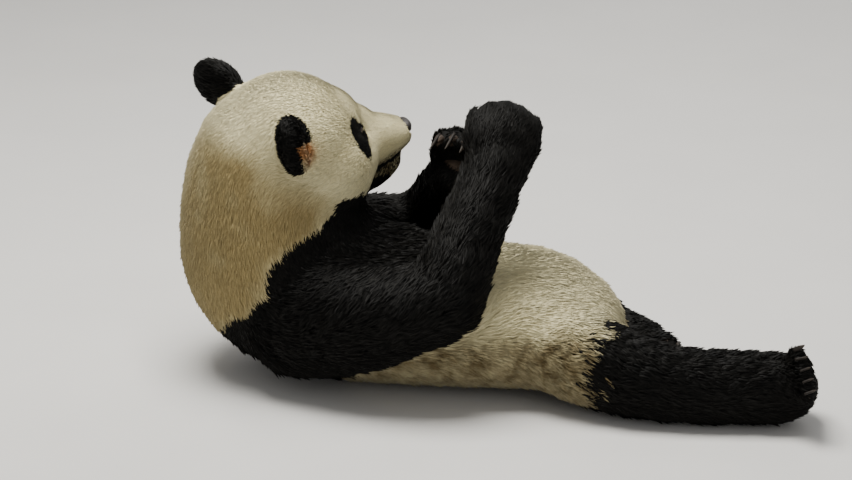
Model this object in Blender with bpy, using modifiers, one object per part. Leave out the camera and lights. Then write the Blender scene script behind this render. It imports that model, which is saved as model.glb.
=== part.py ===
"""A life-size giant panda, reclining on its back with its head raised and both forepaws held up.

The panda lies along X: its feet point to +X, its belly faces +Z, and its own right side is -Y.
Every outline here is the outline of the coat. Flesh is modelled as rows of ellipsoids along the
bones, fused and smoothed, then parted with thin cuts into head, neck, trunk and limbs.
Lengths are in metres.
"""
import math

import bmesh
import bpy
from mathutils import Matrix, Vector

# ---------------------------------------------------------------- driving sizes
RIGHT, LEFT = -1.0, 1.0
SIDE_NAME = {RIGHT: "right", LEFT: "left"}
GAP = 0.0003                 # space left between two pieces that touch
CUT = 0.0004                 # thickness of a parting cut
BODY_VOXEL = 0.009           # grain at which trunk, neck and head are fused
LIMB_VOXEL = 0.007
EAR_VOXEL = 0.005
BODY_SMOOTHING = 7           # rounds of smoothing after fusing
LIMB_SMOOTHING = 5
TAIL_SMOOTHING = 3
EAR_SMOOTHING = 2
ROW_STEPS = 5                # ellipsoids from one station of a row to the next
BUDGET = dict(torso=2850, torso_before_head=4900, arm=700, left_shank=430, ear=190, tail=120)

SPINE = (                    # place, half height across the back, half width
    (Vector((0.148, 0.000, 0.110)), 0.108, 0.160),      # rump
    (Vector((0.078, 0.000, 0.126)), 0.131, 0.198),      # loins
    (Vector((-0.010, 0.000, 0.131)), 0.137, 0.208),     # belly
    (Vector((-0.130, 0.000, 0.134)), 0.143, 0.206),     # lower chest
    (Vector((-0.240, 0.000, 0.146)), 0.157, 0.204),     # chest
    (Vector((-0.345, 0.000, 0.172)), 0.178, 0.202),     # shoulders
    (Vector((-0.428, 0.000, 0.228)), 0.199, 0.200),     # root of the neck
    (Vector((-0.458, 0.000, 0.325)), 0.178, 0.186),     # neck
    (Vector((-0.452, 0.000, 0.418)), 0.166, 0.174),     # nape
)

EYE_MIDPOINT = Vector((-0.299, 0.060, 0.502))           # midway between the two eyes
HEAD_YAW = math.radians(31.0)                           # turned to the panda's left
HEAD_PITCH = math.radians(14.0)                         # nose raised
HEAD_ROLL = math.radians(5.0)                           # right cheek lowered

KEPT_CENTRE = Vector((-0.085, 0.0, -0.015))             # the head keeps its fine facets here
KEPT_RADIUS = 0.185

# Head ellipsoids: centre (forward, left, up) from the eye midpoint, then radii, in the head's axes.
HEAD_MIDLINE = (
    ((-0.136, 0.0, 0.016), (0.138, 0.158, 0.130)),      # braincase
    ((-0.062, 0.0, 0.024), (0.078, 0.092, 0.076)),      # forehead
    ((-0.002, 0.0, 0.004), (0.044, 0.040, 0.030)),      # brow and bridge
    ((-0.070, 0.0, -0.085), (0.085, 0.085, 0.052)),     # throat
)
HEAD_PAIRED = (
    ((-0.092, 0.084, -0.040), (0.090, 0.078, 0.090)),   # cheek
    ((-0.034, 0.058, -0.048), (0.052, 0.056, 0.058)),   # cheekbone
)
MUZZLE = (                   # place, half height, half width
    (Vector((0.000, 0.0, -0.040)), 0.052, 0.064),
    (Vector((0.040, 0.0, -0.050)), 0.047, 0.057),
    (Vector((0.083, 0.0, -0.059)), 0.033, 0.046),
)
JAW = (
    (Vector((-0.050, 0.0, -0.110)), 0.045, 0.066),
    (Vector((0.010, 0.0, -0.119)), 0.037, 0.049),
    (Vector((0.053, 0.0, -0.109)), 0.028, 0.038),
)
NOSE_CENTRE = Vector((0.103, 0.0, -0.052))
NOSE_RADII = (0.014, 0.025, 0.015)
EYE_CENTRE = Vector((-0.010, 0.048, 0.002))
EYE_RADIUS = 0.0115
SOCKET_RADIUS = 0.0165
EAR_BASE = {RIGHT: Vector((-0.157, 0.116, 0.057)), LEFT: Vector((-0.177, 0.124, 0.072))}
EAR_TIP = {RIGHT: Vector((-0.190, 0.184, 0.097)), LEFT: Vector((-0.220, 0.196, 0.118))}
EAR_HALF_WIDTH = {RIGHT: 0.061, LEFT: 0.053}
EAR_HALF_DEPTH = 0.030
EAR_HOLLOW_RADII = (0.036, 0.036, 0.026)
EAR_HOLLOW_LIFT = 0.012      # centre of the hollow, in front of the ear's own front

ARMS = {
    RIGHT: dict(
        upper=((Vector((-0.385, -0.118, 0.150)), 0.128, 0.106),
               (Vector((-0.265, -0.176, 0.172)), 0.112, 0.094),
               (Vector((-0.150, -0.202, 0.206)), 0.088, 0.082),
               (Vector((-0.073, -0.200, 0.236)), 0.076, 0.072)),
        fore=((Vector((-0.073, -0.200, 0.236)), 0.076, 0.072),
              (Vector((-0.054, -0.168, 0.310)), 0.073, 0.068),
              (Vector((-0.022, -0.115, 0.395)), 0.067, 0.063),
              (Vector((0.008, -0.067, 0.470)), 0.062, 0.057)),
        palm_direction=Vector((0.10, 0.34, 0.93)),
        palm_normal=Vector((-0.30, 0.90, -0.25)),
    ),
    LEFT: dict(
        upper=((Vector((-0.375, 0.124, 0.185)), 0.120, 0.104),
               (Vector((-0.285, 0.196, 0.198)), 0.102, 0.092),
               (Vector((-0.215, 0.242, 0.200)), 0.086, 0.080),
               (Vector((-0.164, 0.258, 0.204)), 0.077, 0.073)),
        fore=((Vector((-0.164, 0.258, 0.204)), 0.077, 0.073),
              (Vector((-0.149, 0.222, 0.262)), 0.075, 0.070),
              (Vector((-0.123, 0.168, 0.322)), 0.068, 0.064),
              (Vector((-0.095, 0.118, 0.366)), 0.060, 0.054)),
        palm_direction=Vector((0.26, -0.18, 0.94)),
        palm_normal=Vector((-0.20, -0.96, -0.12)),
    ),
}
LEGS = {
    RIGHT: dict(
        thigh=((Vector((0.120, -0.095, 0.116)), 0.112, 0.092),
               (Vector((0.205, -0.142, 0.098)), 0.096, 0.092),
               (Vector((0.300, -0.176, 0.080)), 0.080, 0.080)),
        shank=((Vector((0.300, -0.176, 0.080)), 0.080, 0.080),
               (Vector((0.400, -0.182, 0.073)), 0.073, 0.074),
               (Vector((0.500, -0.174, 0.074)), 0.074, 0.074),
               (Vector((0.574, -0.168, 0.074)), 0.069, 0.068)),
        sole_direction=Vector((0.17, -0.78, 0.60)),
        sole_normal=Vector((0.95, 0.22, 0.20)),
    ),
    LEFT: dict(
        thigh=((Vector((0.110, 0.100, 0.112)), 0.106, 0.092),
               (Vector((0.095, 0.190, 0.094)), 0.092, 0.090),
               (Vector((0.072, 0.268, 0.082)), 0.080, 0.078)),
        shank=((Vector((0.085, 0.262, 0.080)), 0.069, 0.069),
               (Vector((0.148, 0.206, 0.064)), 0.065, 0.064),
               (Vector((0.230, 0.128, 0.054)), 0.056, 0.056),
               (Vector((0.290, 0.070, 0.050)), 0.051, 0.052)),
        sole_direction=Vector((0.76, -0.65, 0.02)),
        sole_normal=Vector((-0.64, -0.76, 0.02)),
    ),
}
TAIL = (
    (Vector((0.210, -0.026, 0.052)), 0.042, 0.050),
    (Vector((0.255, -0.034, 0.036)), 0.034, 0.046),
    (Vector((0.292, -0.038, 0.028)), 0.025, 0.036),
)

# Digits in a paw's own axes: reach along the paw, spread across it, and radius.
FOREPAW_DIGITS = tuple((0.056 + 0.056 * math.cos(math.radians(24.0 * step)), 0.0280 * step,
                        0.0215 - 0.001 * abs(step)) for step in (-2, -1, 0, 1, 2))
HIND_DIGITS = tuple((0.096 + 0.012 * math.cos(math.radians(18.0 * step)), 0.0215 * step,
                     0.0190 - 0.001 * abs(step)) for step in (-2, -1, 0, 1, 2))
FOREPAW_FULLNESS = {RIGHT: 1.09, LEFT: 1.0}      # the right paw's coat stands out more
CLAW_FAN = 2.0               # how far the claws spread, for each metre of the digit's spread
FORE_CLAW = dict(heading=Vector((0.25, 0.0, -1.0)), curl=Vector((-1.0, 0.0, -0.3)),
                 root=Vector((-0.004, 0.0, -0.028)), length=0.036, radius=0.0064)
HIND_CLAW = dict(heading=Vector((0.99, 0.0, -0.14)), curl=Vector((0.0, 0.0, -1.0)),
                 root=Vector((-0.004, 0.0, -0.020)), length=0.025, radius=0.0060)

COATS = {                    # colour, roughness
    "white": ((0.66, 0.60, 0.46, 1.0), 0.85),
    "black": ((0.018, 0.017, 0.016, 1.0), 0.8),
    "eye": ((0.02, 0.012, 0.008, 1.0), 0.15),
    "nose": ((0.015, 0.013, 0.013, 1.0), 0.45),
    "claw": ((0.10, 0.085, 0.07, 1.0), 0.45),
}


# ---------------------------------------------------------------- helpers
def clear_scene():
    for thing in list(bpy.data.objects):
        bpy.data.objects.remove(thing, do_unlink=True)


def new_collection(name):
    collection = bpy.data.collections.new(name)
    bpy.context.scene.collection.children.link(collection)
    return collection


def material(name):
    found = bpy.data.materials.get(name)
    if found:
        return found
    colour, roughness = COATS[name]
    made = bpy.data.materials.new(name)
    made.use_nodes = True
    shader = made.node_tree.nodes["Principled BSDF"]
    shader.inputs["Base Color"].default_value = colour
    shader.inputs["Roughness"].default_value = roughness
    shader.inputs["Metallic"].default_value = 0.0
    return made


def new_object(name, mesh, collection):
    made = bpy.data.objects.new(name, mesh)
    collection.objects.link(made)
    return made


def mesh_from(bm, name):
    mesh = bpy.data.meshes.new(name)
    bm.to_mesh(mesh)
    bm.free()
    return mesh


def evaluated_mesh(source):
    """The object's mesh after its modifiers, as a mesh of its own."""
    depsgraph = bpy.context.evaluated_depsgraph_get()
    return bpy.data.meshes.new_from_object(source.evaluated_get(depsgraph))


def bake_modifiers(source):
    mesh = evaluated_mesh(source)
    source.modifiers.clear()
    source.data = mesh


def axes_matrix(forward, upward):
    """Rotation whose X is forward and whose Z is as near to upward as it can be."""
    x_axis = forward.normalized()
    y_axis = upward.cross(x_axis).normalized()
    z_axis = x_axis.cross(y_axis).normalized()
    return Matrix((x_axis, y_axis, z_axis)).transposed()


def head_matrix():
    turn = Matrix.Rotation(HEAD_YAW, 3, "Z") @ Matrix.Rotation(-HEAD_PITCH, 3, "Y")
    turn = turn @ Matrix.Rotation(HEAD_ROLL, 3, "X")
    return Matrix.Translation(EYE_MIDPOINT) @ turn.to_4x4()


def add_ellipsoid(bm, place, radii, divisions=3):
    """Adds an ellipsoid; place is a 4x4 matrix with no scale."""
    scale = Matrix.Diagonal((radii[0], radii[1], radii[2], 1.0))
    bmesh.ops.create_icosphere(bm, subdivisions=divisions, radius=1.0, matrix=place @ scale)


def spline_point(points, index, amount):
    """Catmull-Rom value between points[index] and points[index + 1]."""
    last = len(points) - 1
    before = points[max(index - 1, 0)]
    start = points[index]
    end = points[index + 1]
    after = points[min(index + 2, last)]
    square = amount * amount
    cube = square * amount
    return 0.5 * (
        2.0 * start
        + (end - before) * amount
        + (2.0 * before - 5.0 * start + 4.0 * end - after) * square
        + (3.0 * start - before - 3.0 * end + after) * cube
    )


def add_row(bm, stations, across, place=None):
    """A smooth row of ellipsoids through the stations.

    A station is a centre, a half height and a half width; across is the direction of the width.
    """
    place = place or Matrix.Identity(4)
    centres = [station[0] for station in stations]
    heights = [station[1] for station in stations]
    widths = [station[2] for station in stations]
    for index in range(len(stations) - 1):
        last_step = ROW_STEPS + 1 if index == len(stations) - 2 else ROW_STEPS
        for step in range(last_step):
            amount = step / ROW_STEPS
            centre = spline_point(centres, index, amount)
            height = spline_point(heights, index, amount)
            width = spline_point(widths, index, amount)
            along = centres[index + 1] - centres[index]
            upward = along.cross(across)
            turn = axes_matrix(along, upward).to_4x4()
            radii = (min(height, width), width, height)
            add_ellipsoid(bm, place @ Matrix.Translation(centre) @ turn, radii)


def fuse(bm, name, voxel, smoothing, collection):
    """Fuses overlapping closed shapes into one smooth closed body."""
    body = new_object(name, mesh_from(bm, name), collection)
    remesh = body.modifiers.new("fuse", "REMESH")
    remesh.mode = "VOXEL"
    remesh.voxel_size = voxel
    smooth = body.modifiers.new("soften", "SMOOTH")
    smooth.factor = 0.5
    smooth.iterations = smoothing
    bake_modifiers(body)
    return body


def press_on_floor(body):
    """Flattens whatever lies below the floor onto it."""
    for vertex in body.data.vertices:
        if vertex.co.z < 0.0:
            vertex.co.z = 0.0


def reduce_to(body, triangles, kept_place=None, kept_radius=0.0):
    """Decimates to about the number of triangles, leaving what is near kept_place as it is."""
    present = sum(len(face.vertices) - 2 for face in body.data.polygons)
    decimate = body.modifiers.new("reduce", "DECIMATE")
    decimate.ratio = min(1.0, triangles / present)
    decimate.use_collapse_triangulate = True
    if kept_place is not None:
        group = body.vertex_groups.new(name="kept")
        near = [v.index for v in body.data.vertices if (v.co - kept_place).length < kept_radius]
        group.add(near, 1.0, "REPLACE")
        decimate.vertex_group = "kept"
        decimate.invert_vertex_group = True
    bake_modifiers(body)
    body.vertex_groups.clear()


def swollen_copy(body, amount, collection):
    """A hidden copy whose surface is moved outwards, used to cut a neighbour with a gap."""
    mesh = body.data.copy()
    normals = [vertex.normal.copy() for vertex in mesh.vertices]
    for vertex, normal in zip(mesh.vertices, normals):
        vertex.co = vertex.co + normal * amount
    cutter = new_object(body.name + "_cutter", mesh, collection)
    hide_cutter(cutter)
    return cutter


def hide_cutter(cutter):
    cutter.hide_render = True
    cutter.display_type = "WIRE"


def subtract(body, cutter):
    boolean = body.modifiers.new("cut", "BOOLEAN")
    boolean.operation = "DIFFERENCE"
    boolean.solver = "EXACT"
    boolean.object = cutter
    bake_modifiers(body)


def drop_small_parts(body):
    """Keeps the largest connected part."""
    parts = loose_parts(body)
    largest = max(parts, key=len)
    bm = bmesh.new()
    bm.from_mesh(body.data)
    bm.verts.ensure_lookup_table()
    doomed = [vertex for vertex in bm.verts if vertex.index not in largest]
    bmesh.ops.delete(bm, geom=doomed, context="VERTS")
    bm.to_mesh(body.data)
    bm.free()


def loose_parts(body):
    """Sets of vertex indices, one for each connected part."""
    bm = bmesh.new()
    bm.from_mesh(body.data)
    parts = []
    seen = set()
    for seed in bm.verts:
        if seed.index in seen:
            continue
        part = set()
        queue = [seed]
        while queue:
            vertex = queue.pop()
            if vertex.index in part:
                continue
            part.add(vertex.index)
            queue.extend(edge.other_vert(vertex) for edge in vertex.link_edges)
        seen |= part
        parts.append(part)
    bm.free()
    return parts


def cut_disc(name, centre, normal, radius, collection):
    bm = bmesh.new()
    turn = axes_matrix(normal, Vector((0.31, 0.55, 0.77))).to_4x4()
    turn = turn @ Matrix.Rotation(math.radians(90.0), 4, "Y")
    bmesh.ops.create_cone(bm, cap_ends=True, segments=28, radius1=radius, radius2=radius,
                          depth=CUT, matrix=Matrix.Translation(centre) @ turn)
    cutter = new_object(name, mesh_from(bm, name), collection)
    hide_cutter(cutter)
    return cutter


def split_by_name(body, seeds, parts_collection, coat_names):
    """Turns each connected part of body into an object named after the seed nearest its middle."""
    made = {}
    for part in loose_parts(body):
        bm = bmesh.new()
        bm.from_mesh(body.data)
        bmesh.ops.delete(bm, geom=[v for v in bm.verts if v.index not in part], context="VERTS")
        middle = sum((v.co for v in bm.verts), Vector()) / max(1, len(bm.verts))
        name = min(seeds, key=lambda seed: (seeds[seed] - middle).length)
        if name in made and len(made[name].data.vertices) > len(bm.verts):
            bm.free()
            continue
        if name in made:
            bpy.data.objects.remove(made[name], do_unlink=True)
        piece = new_object(name, mesh_from(bm, name), parts_collection)
        made[name] = piece
    bpy.data.objects.remove(body, do_unlink=True)
    for name, piece in made.items():
        finish(piece, coat_names[name])
    return made


def finish(piece, coat):
    piece.data.materials.clear()
    piece.data.materials.append(material(coat))
    piece.data.shade_smooth()
    piece.data.set_sharp_from_angle(angle=math.radians(40.0))


# ---------------------------------------------------------------- body
def build_torso(cutters):
    """Head, neck, trunk and the roots of the hind legs, fused as one."""
    bm = bmesh.new()
    sideways = Vector((0.0, 1.0, 0.0))
    add_row(bm, SPINE, sideways)
    head = head_matrix()
    for centre, radii in HEAD_MIDLINE:
        add_ellipsoid(bm, head @ Matrix.Translation(centre), radii)
    for centre, radii in HEAD_PAIRED:
        for side in (RIGHT, LEFT):
            mirrored = (centre[0], centre[1] * side, centre[2])
            add_ellipsoid(bm, head @ Matrix.Translation(mirrored), radii)
    add_row(bm, MUZZLE, sideways, head)
    add_row(bm, JAW, sideways, head)
    for side in (RIGHT, LEFT):
        add_row(bm, LEGS[side]["thigh"], Vector((0.0, 0.0, 1.0)))
    add_row(bm, LEGS[RIGHT]["shank"], Vector((0.0, 0.0, 1.0)))
    add_hind_foot(bm, RIGHT)
    torso = fuse(bm, "torso", BODY_VOXEL, BODY_SMOOTHING, cutters)
    press_on_floor(torso)
    reduce_to(torso, BUDGET["torso_before_head"])
    reduce_to(torso, BUDGET["torso"], head @ KEPT_CENTRE, KEPT_RADIUS)
    press_on_floor(torso)
    return torso


def paw_matrix(root, direction, normal):
    """X along the digits, Z out of the back of the paw."""
    return Matrix.Translation(root) @ axes_matrix(direction, -normal).to_4x4()


def forepaw_matrix(side):
    arm = ARMS[side]
    return paw_matrix(arm["fore"][-1][0], arm["palm_direction"], arm["palm_normal"])


def hind_foot_matrix(side):
    leg = LEGS[side]
    return paw_matrix(leg["shank"][-1][0], leg["sole_direction"], leg["sole_normal"])


def add_forepaw(bm, side):
    """Broad furred paw: the palm, five digits that curl inwards, and the wrist pad."""
    place = forepaw_matrix(side)
    full = FOREPAW_FULLNESS[side]
    add_ellipsoid(bm, place @ Matrix.Translation((0.045, 0.0, 0.002)),
                  (0.066 * full, 0.074 * full, 0.040 * full))
    add_ellipsoid(bm, place @ Matrix.Translation((0.006, 0.0, -0.006)), (0.045, 0.056, 0.044))
    for reach, spread, radius in FOREPAW_DIGITS:
        radius = radius * full
        add_ellipsoid(bm, place @ Matrix.Translation((reach - 0.020, spread, -0.002)),
                      (0.034, radius, radius + 0.004))
        add_ellipsoid(bm, place @ Matrix.Translation((reach - 0.012, spread * 0.94, -0.024)),
                      (radius, radius - 0.001, 0.024))


def add_hind_foot(bm, side):
    """Long flat foot with heel, ball and five toes."""
    place = hind_foot_matrix(side)
    add_ellipsoid(bm, place @ Matrix.Translation((-0.020, 0.0, -0.018)), (0.050, 0.050, 0.048))
    add_ellipsoid(bm, place @ Matrix.Translation((0.045, 0.0, -0.022)), (0.062, 0.054, 0.036))
    for reach, spread, radius in HIND_DIGITS:
        add_ellipsoid(bm, place @ Matrix.Translation((reach - 0.018, spread, -0.024)),
                      (0.032, radius, radius + 0.003))


def build_arm(side, cutters):
    bm = bmesh.new()
    arm = ARMS[side]
    add_row(bm, arm["upper"], Vector((0.0, 1.0, 0.0)))
    add_row(bm, arm["fore"], Vector((0.0, 1.0, 0.0)))
    add_forepaw(bm, side)
    limb = fuse(bm, "arm_" + SIDE_NAME[side], LIMB_VOXEL, LIMB_SMOOTHING, cutters)
    reduce_to(limb, BUDGET["arm"])
    press_on_floor(limb)
    return limb


def build_left_shank(cutters):
    bm = bmesh.new()
    add_row(bm, LEGS[LEFT]["shank"], Vector((0.0, 0.0, 1.0)))
    add_hind_foot(bm, LEFT)
    limb = fuse(bm, "leg_left", LIMB_VOXEL, LIMB_SMOOTHING, cutters)
    reduce_to(limb, BUDGET["left_shank"])
    press_on_floor(limb)
    return limb


def build_tail(cutters):
    bm = bmesh.new()
    add_row(bm, TAIL, Vector((0.0, 1.0, 0.0)))
    tail = fuse(bm, "tail", LIMB_VOXEL, TAIL_SMOOTHING, cutters)
    reduce_to(tail, BUDGET["tail"])
    press_on_floor(tail)
    return tail


def build_ear(side, cutters):
    """A round ear: a thick upright dish, hollow at the front."""
    bm = bmesh.new()
    head = head_matrix()
    mirror = Matrix.Diagonal((1.0, side, 1.0))
    base = mirror @ EAR_BASE[side]
    outward = mirror @ EAR_TIP[side] - base
    opening = Vector((0.86, 0.50 * side, 0.10))
    place = head @ Matrix.Translation(base + outward * 0.55) @ axes_matrix(outward, opening).to_4x4()
    add_ellipsoid(bm, place, (outward.length * 0.62, EAR_HALF_WIDTH[side], EAR_HALF_DEPTH))
    ear = fuse(bm, "ear_" + SIDE_NAME[side], EAR_VOXEL, EAR_SMOOTHING, cutters)
    hollow = bmesh.new()
    shift = Matrix.Translation((0.004, 0.0, EAR_HALF_DEPTH + EAR_HOLLOW_LIFT))
    add_ellipsoid(hollow, place @ shift, EAR_HOLLOW_RADII)
    cutter = new_object("ear_hollow", mesh_from(hollow, "ear_hollow"), cutters)
    hide_cutter(cutter)
    subtract(ear, cutter)
    reduce_to(ear, BUDGET["ear"])
    return ear


def build_head_details(torso, parts, cutters):
    """Eyes in shallow sockets and the nose pad, each cut clear of the head."""
    head = head_matrix()
    for side in (RIGHT, LEFT):
        centre = head @ Vector((EYE_CENTRE.x, EYE_CENTRE.y * side, EYE_CENTRE.z))
        outward = (head.to_3x3() @ Vector((0.80, 0.60 * side, 0.0))).normalized()
        bm = bmesh.new()
        bmesh.ops.create_uvsphere(bm, u_segments=12, v_segments=8, radius=EYE_RADIUS,
                                  matrix=Matrix.Translation(centre))
        eye = new_object("eye_" + SIDE_NAME[side], mesh_from(bm, "eye"), parts)
        finish(eye, "eye")
        bm = bmesh.new()
        bmesh.ops.create_icosphere(bm, subdivisions=2, radius=EYE_RADIUS + 4.0 * GAP,
                                   matrix=Matrix.Translation(centre))
        ball = new_object("socket_ball", mesh_from(bm, "socket_ball"), cutters)
        hide_cutter(ball)
        bm = bmesh.new()
        bmesh.ops.create_icosphere(bm, subdivisions=2, radius=SOCKET_RADIUS,
                                   matrix=Matrix.Translation(centre + outward * SOCKET_RADIUS))
        bowl = new_object("socket_bowl", mesh_from(bm, "socket_bowl"), cutters)
        hide_cutter(bowl)
        subtract(torso, ball)
        subtract(torso, bowl)
    bm = bmesh.new()
    add_ellipsoid(bm, head @ Matrix.Translation(NOSE_CENTRE), NOSE_RADII, 2)
    nose = new_object("nose", mesh_from(bm, "nose"), parts)
    finish(nose, "nose")
    subtract(torso, swollen_copy(nose, GAP, cutters))


def claw_mesh(root, direction, curl, length, radius):
    """A curved, tapering claw of three rings and a tip."""
    bm = bmesh.new()
    sides = 5
    rings = []
    for step in range(3):
        amount = step / 3.0
        centre = root + direction * (length * amount) + curl * (length * 0.45 * amount * amount)
        heading = (direction + curl * (0.9 * amount)).normalized()
        turn = axes_matrix(heading, -curl)
        size = radius * (1.0 - 0.80 * amount)
        ring = []
        for side in range(sides):
            angle = 2.0 * math.pi * side / sides
            offset = turn @ Vector((0.0, 0.8 * size * math.cos(angle), size * math.sin(angle)))
            ring.append(bm.verts.new(centre + offset))
        rings.append(ring)
    tip = bm.verts.new(root + direction * length + curl * (length * 0.45))
    for lower, upper in zip(rings, rings[1:]):
        for side in range(sides):
            after = (side + 1) % sides
            bm.faces.new((lower[side], lower[after], upper[after], upper[side]))
    for side in range(sides):
        bm.faces.new((rings[-1][side], rings[-1][(side + 1) % sides], tip))
    bm.faces.new(list(reversed(rings[0])))
    bmesh.ops.recalc_face_normals(bm, faces=bm.faces)
    return mesh_from(bm, "claw")


def build_claws(limb, prefix, place, digits, shape, parts, cutters):
    """Five claws at the ends of the digits, trimmed where they enter the fur."""
    shell = swollen_copy(limb, GAP, cutters)
    turn = place.to_3x3()
    curl = turn @ shape["curl"].normalized()
    for number, (reach, spread, _) in enumerate(digits, start=1):
        root = place @ (Vector((reach, spread, 0.0)) + shape["root"])
        fan = Vector((0.0, CLAW_FAN * spread, 0.0))
        direction = (turn @ (shape["heading"] + fan)).normalized()
        mesh = claw_mesh(root, direction, curl, shape["length"], shape["radius"])
        claw = new_object(f"{prefix}_{number}", mesh, parts)
        press_on_floor(claw)
        subtract(claw, shell)
        drop_small_parts(claw)
        finish(claw, "claw")


def main():
    clear_scene()
    parts = new_collection("giant_panda")
    cutters = new_collection("cutters")

    torso = build_torso(cutters)
    arms = {side: build_arm(side, cutters) for side in (RIGHT, LEFT)}
    shank = build_left_shank(cutters)
    tail = build_tail(cutters)
    ears = {side: build_ear(side, cutters) for side in (RIGHT, LEFT)}

    shell = swollen_copy(torso, GAP, cutters)
    for piece in (arms[RIGHT], arms[LEFT], shank, tail, ears[RIGHT], ears[LEFT]):
        subtract(piece, shell)
        drop_small_parts(piece)
    subtract(tail, swollen_copy(shank, GAP, cutters))
    drop_small_parts(tail)
    subtract(arms[LEFT], swollen_copy(arms[RIGHT], GAP, cutters))
    drop_small_parts(arms[LEFT])

    for side, hind_limb in ((RIGHT, torso), (LEFT, shank)):
        build_claws(arms[side], "claw_fore_" + SIDE_NAME[side], forepaw_matrix(side),
                    FOREPAW_DIGITS, FORE_CLAW, parts, cutters)
        build_claws(hind_limb, "claw_hind_" + SIDE_NAME[side], hind_foot_matrix(side),
                    HIND_DIGITS, HIND_CLAW, parts, cutters)

    build_head_details(torso, parts, cutters)
    part_torso(torso, parts, cutters)
    for side in (RIGHT, LEFT):
        part_arm(arms[side], side, parts, cutters)
        keep_whole(ears[side], parts, "black")
    part_left_shank(shank, parts, cutters)
    keep_whole(tail, parts, "white")
    stand_on_origin(parts)


def stand_on_origin(parts):
    """Moves every piece so that the middle of the whole model's underside is the origin."""
    corners = [vertex.co for piece in parts.objects for vertex in piece.data.vertices]
    low = Vector(min(corner[axis] for corner in corners) for axis in range(3))
    high = Vector(max(corner[axis] for corner in corners) for axis in range(3))
    shift = Vector(((low.x + high.x) / 2.0, (low.y + high.y) / 2.0, low.z))
    for piece in parts.objects:
        for vertex in piece.data.vertices:
            vertex.co = vertex.co - shift


def keep_whole(piece, parts, coat):
    for collection in list(piece.users_collection):
        collection.objects.unlink(piece)
    parts.objects.link(piece)
    finish(piece, coat)


def part_torso(torso, parts, cutters):
    head = head_matrix()
    nape = head @ Vector((-0.165, 0.0, -0.070))
    cuts = (
        ("cut_head", nape, (head.to_3x3() @ Vector((0.72, 0.0, 0.70))), 0.230),
        ("cut_neck", Vector((-0.400, 0.0, 0.215)), Vector((-0.69, 0.0, 0.72)), 0.260),
        ("cut_waist", Vector((-0.202, 0.0, 0.140)), Vector((1.0, 0.0, -0.80)), 0.300),
        ("cut_thigh_right", Vector((0.205, -0.130, 0.100)), Vector((0.75, -0.62, -0.10)), 0.190),
        ("cut_knee_right", Vector((0.330, -0.178, 0.075)), Vector((1.0, 0.0, 0.0)), 0.110),
        ("cut_ankle_right", Vector((0.545, -0.176, 0.070)), Vector((1.0, 0.0, 0.0)), 0.140),
        ("cut_thigh_left", Vector((0.085, 0.226, 0.085)), Vector((0.0, 1.0, -0.08)), 0.125),
    )
    for name, centre, normal, radius in cuts:
        subtract(torso, cut_disc(name, centre, normal, radius, cutters))
    seeds = {
        "head": head @ Vector((-0.060, 0.0, -0.010)),
        "neck": Vector((-0.480, 0.0, 0.320)),
        "trunk_chest": Vector((-0.290, 0.0, 0.150)),
        "trunk_belly": Vector((0.060, 0.0, 0.130)),
        "thigh_right": Vector((0.280, -0.165, 0.075)),
        "shank_right": Vector((0.440, -0.180, 0.070)),
        "hind_foot_right": Vector((0.590, -0.210, 0.070)),
        "thigh_left": Vector((0.075, 0.260, 0.080)),
    }
    coats = dict.fromkeys(seeds, "black")
    coats.update(head="white", neck="white", trunk_belly="white")
    split_by_name(torso, seeds, parts, coats)


def part_arm(limb, side, parts, cutters):
    arm = ARMS[side]
    name = SIDE_NAME[side]
    elbow = arm["fore"][0][0]
    wrist = arm["fore"][-1][0]
    upper_axis = (elbow - arm["upper"][1][0]).normalized()
    fore_axis = (wrist - elbow).normalized()
    bisector = (upper_axis + fore_axis).normalized()
    cuts = (
        ("cut_elbow_" + name, elbow + fore_axis * 0.045 - upper_axis * 0.010, bisector, 0.150),
        ("cut_wrist_" + name, wrist - fore_axis * 0.006, fore_axis, 0.120),
    )
    for cut_name, centre, normal, radius in cuts:
        subtract(limb, cut_disc(cut_name, centre, normal, radius, cutters))
    seeds = {
        "upper_arm_" + name: arm["upper"][2][0],
        "forearm_" + name: arm["fore"][2][0],
        "forepaw_" + name: forepaw_matrix(side) @ Vector((0.05, 0.0, 0.0)),
    }
    split_by_name(limb, seeds, parts, dict.fromkeys(seeds, "black"))


def part_left_shank(limb, parts, cutters):
    stations = LEGS[LEFT]["shank"]
    axis = stations[-1][0] - stations[-2][0]
    subtract(limb, cut_disc("cut_ankle_left", stations[-1][0] - axis * 0.35, axis, 0.100, cutters))
    seeds = {
        "shank_left": stations[1][0],
        "hind_foot_left": hind_foot_matrix(LEFT) @ Vector((0.04, 0.0, -0.02)),
    }
    split_by_name(limb, seeds, parts, dict.fromkeys(seeds, "black"))


main()
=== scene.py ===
"""Looks of a life-size giant panda that reclines on its back, head raised, forepaws held up.

One skin stands for every node of flesh. It lies inside them by the depth of the coat, and solid
tufts of fur grow from it along the lie of the coat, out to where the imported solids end.
Lengths are in metres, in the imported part's own frame: +X towards the feet, -Y the panda's right.
"""

import math

import bmesh
import bpy
import numpy as np
from mathutils import Matrix, Vector
from mathutils.bvhtree import BVHTree
from mathutils.kdtree import KDTree


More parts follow.
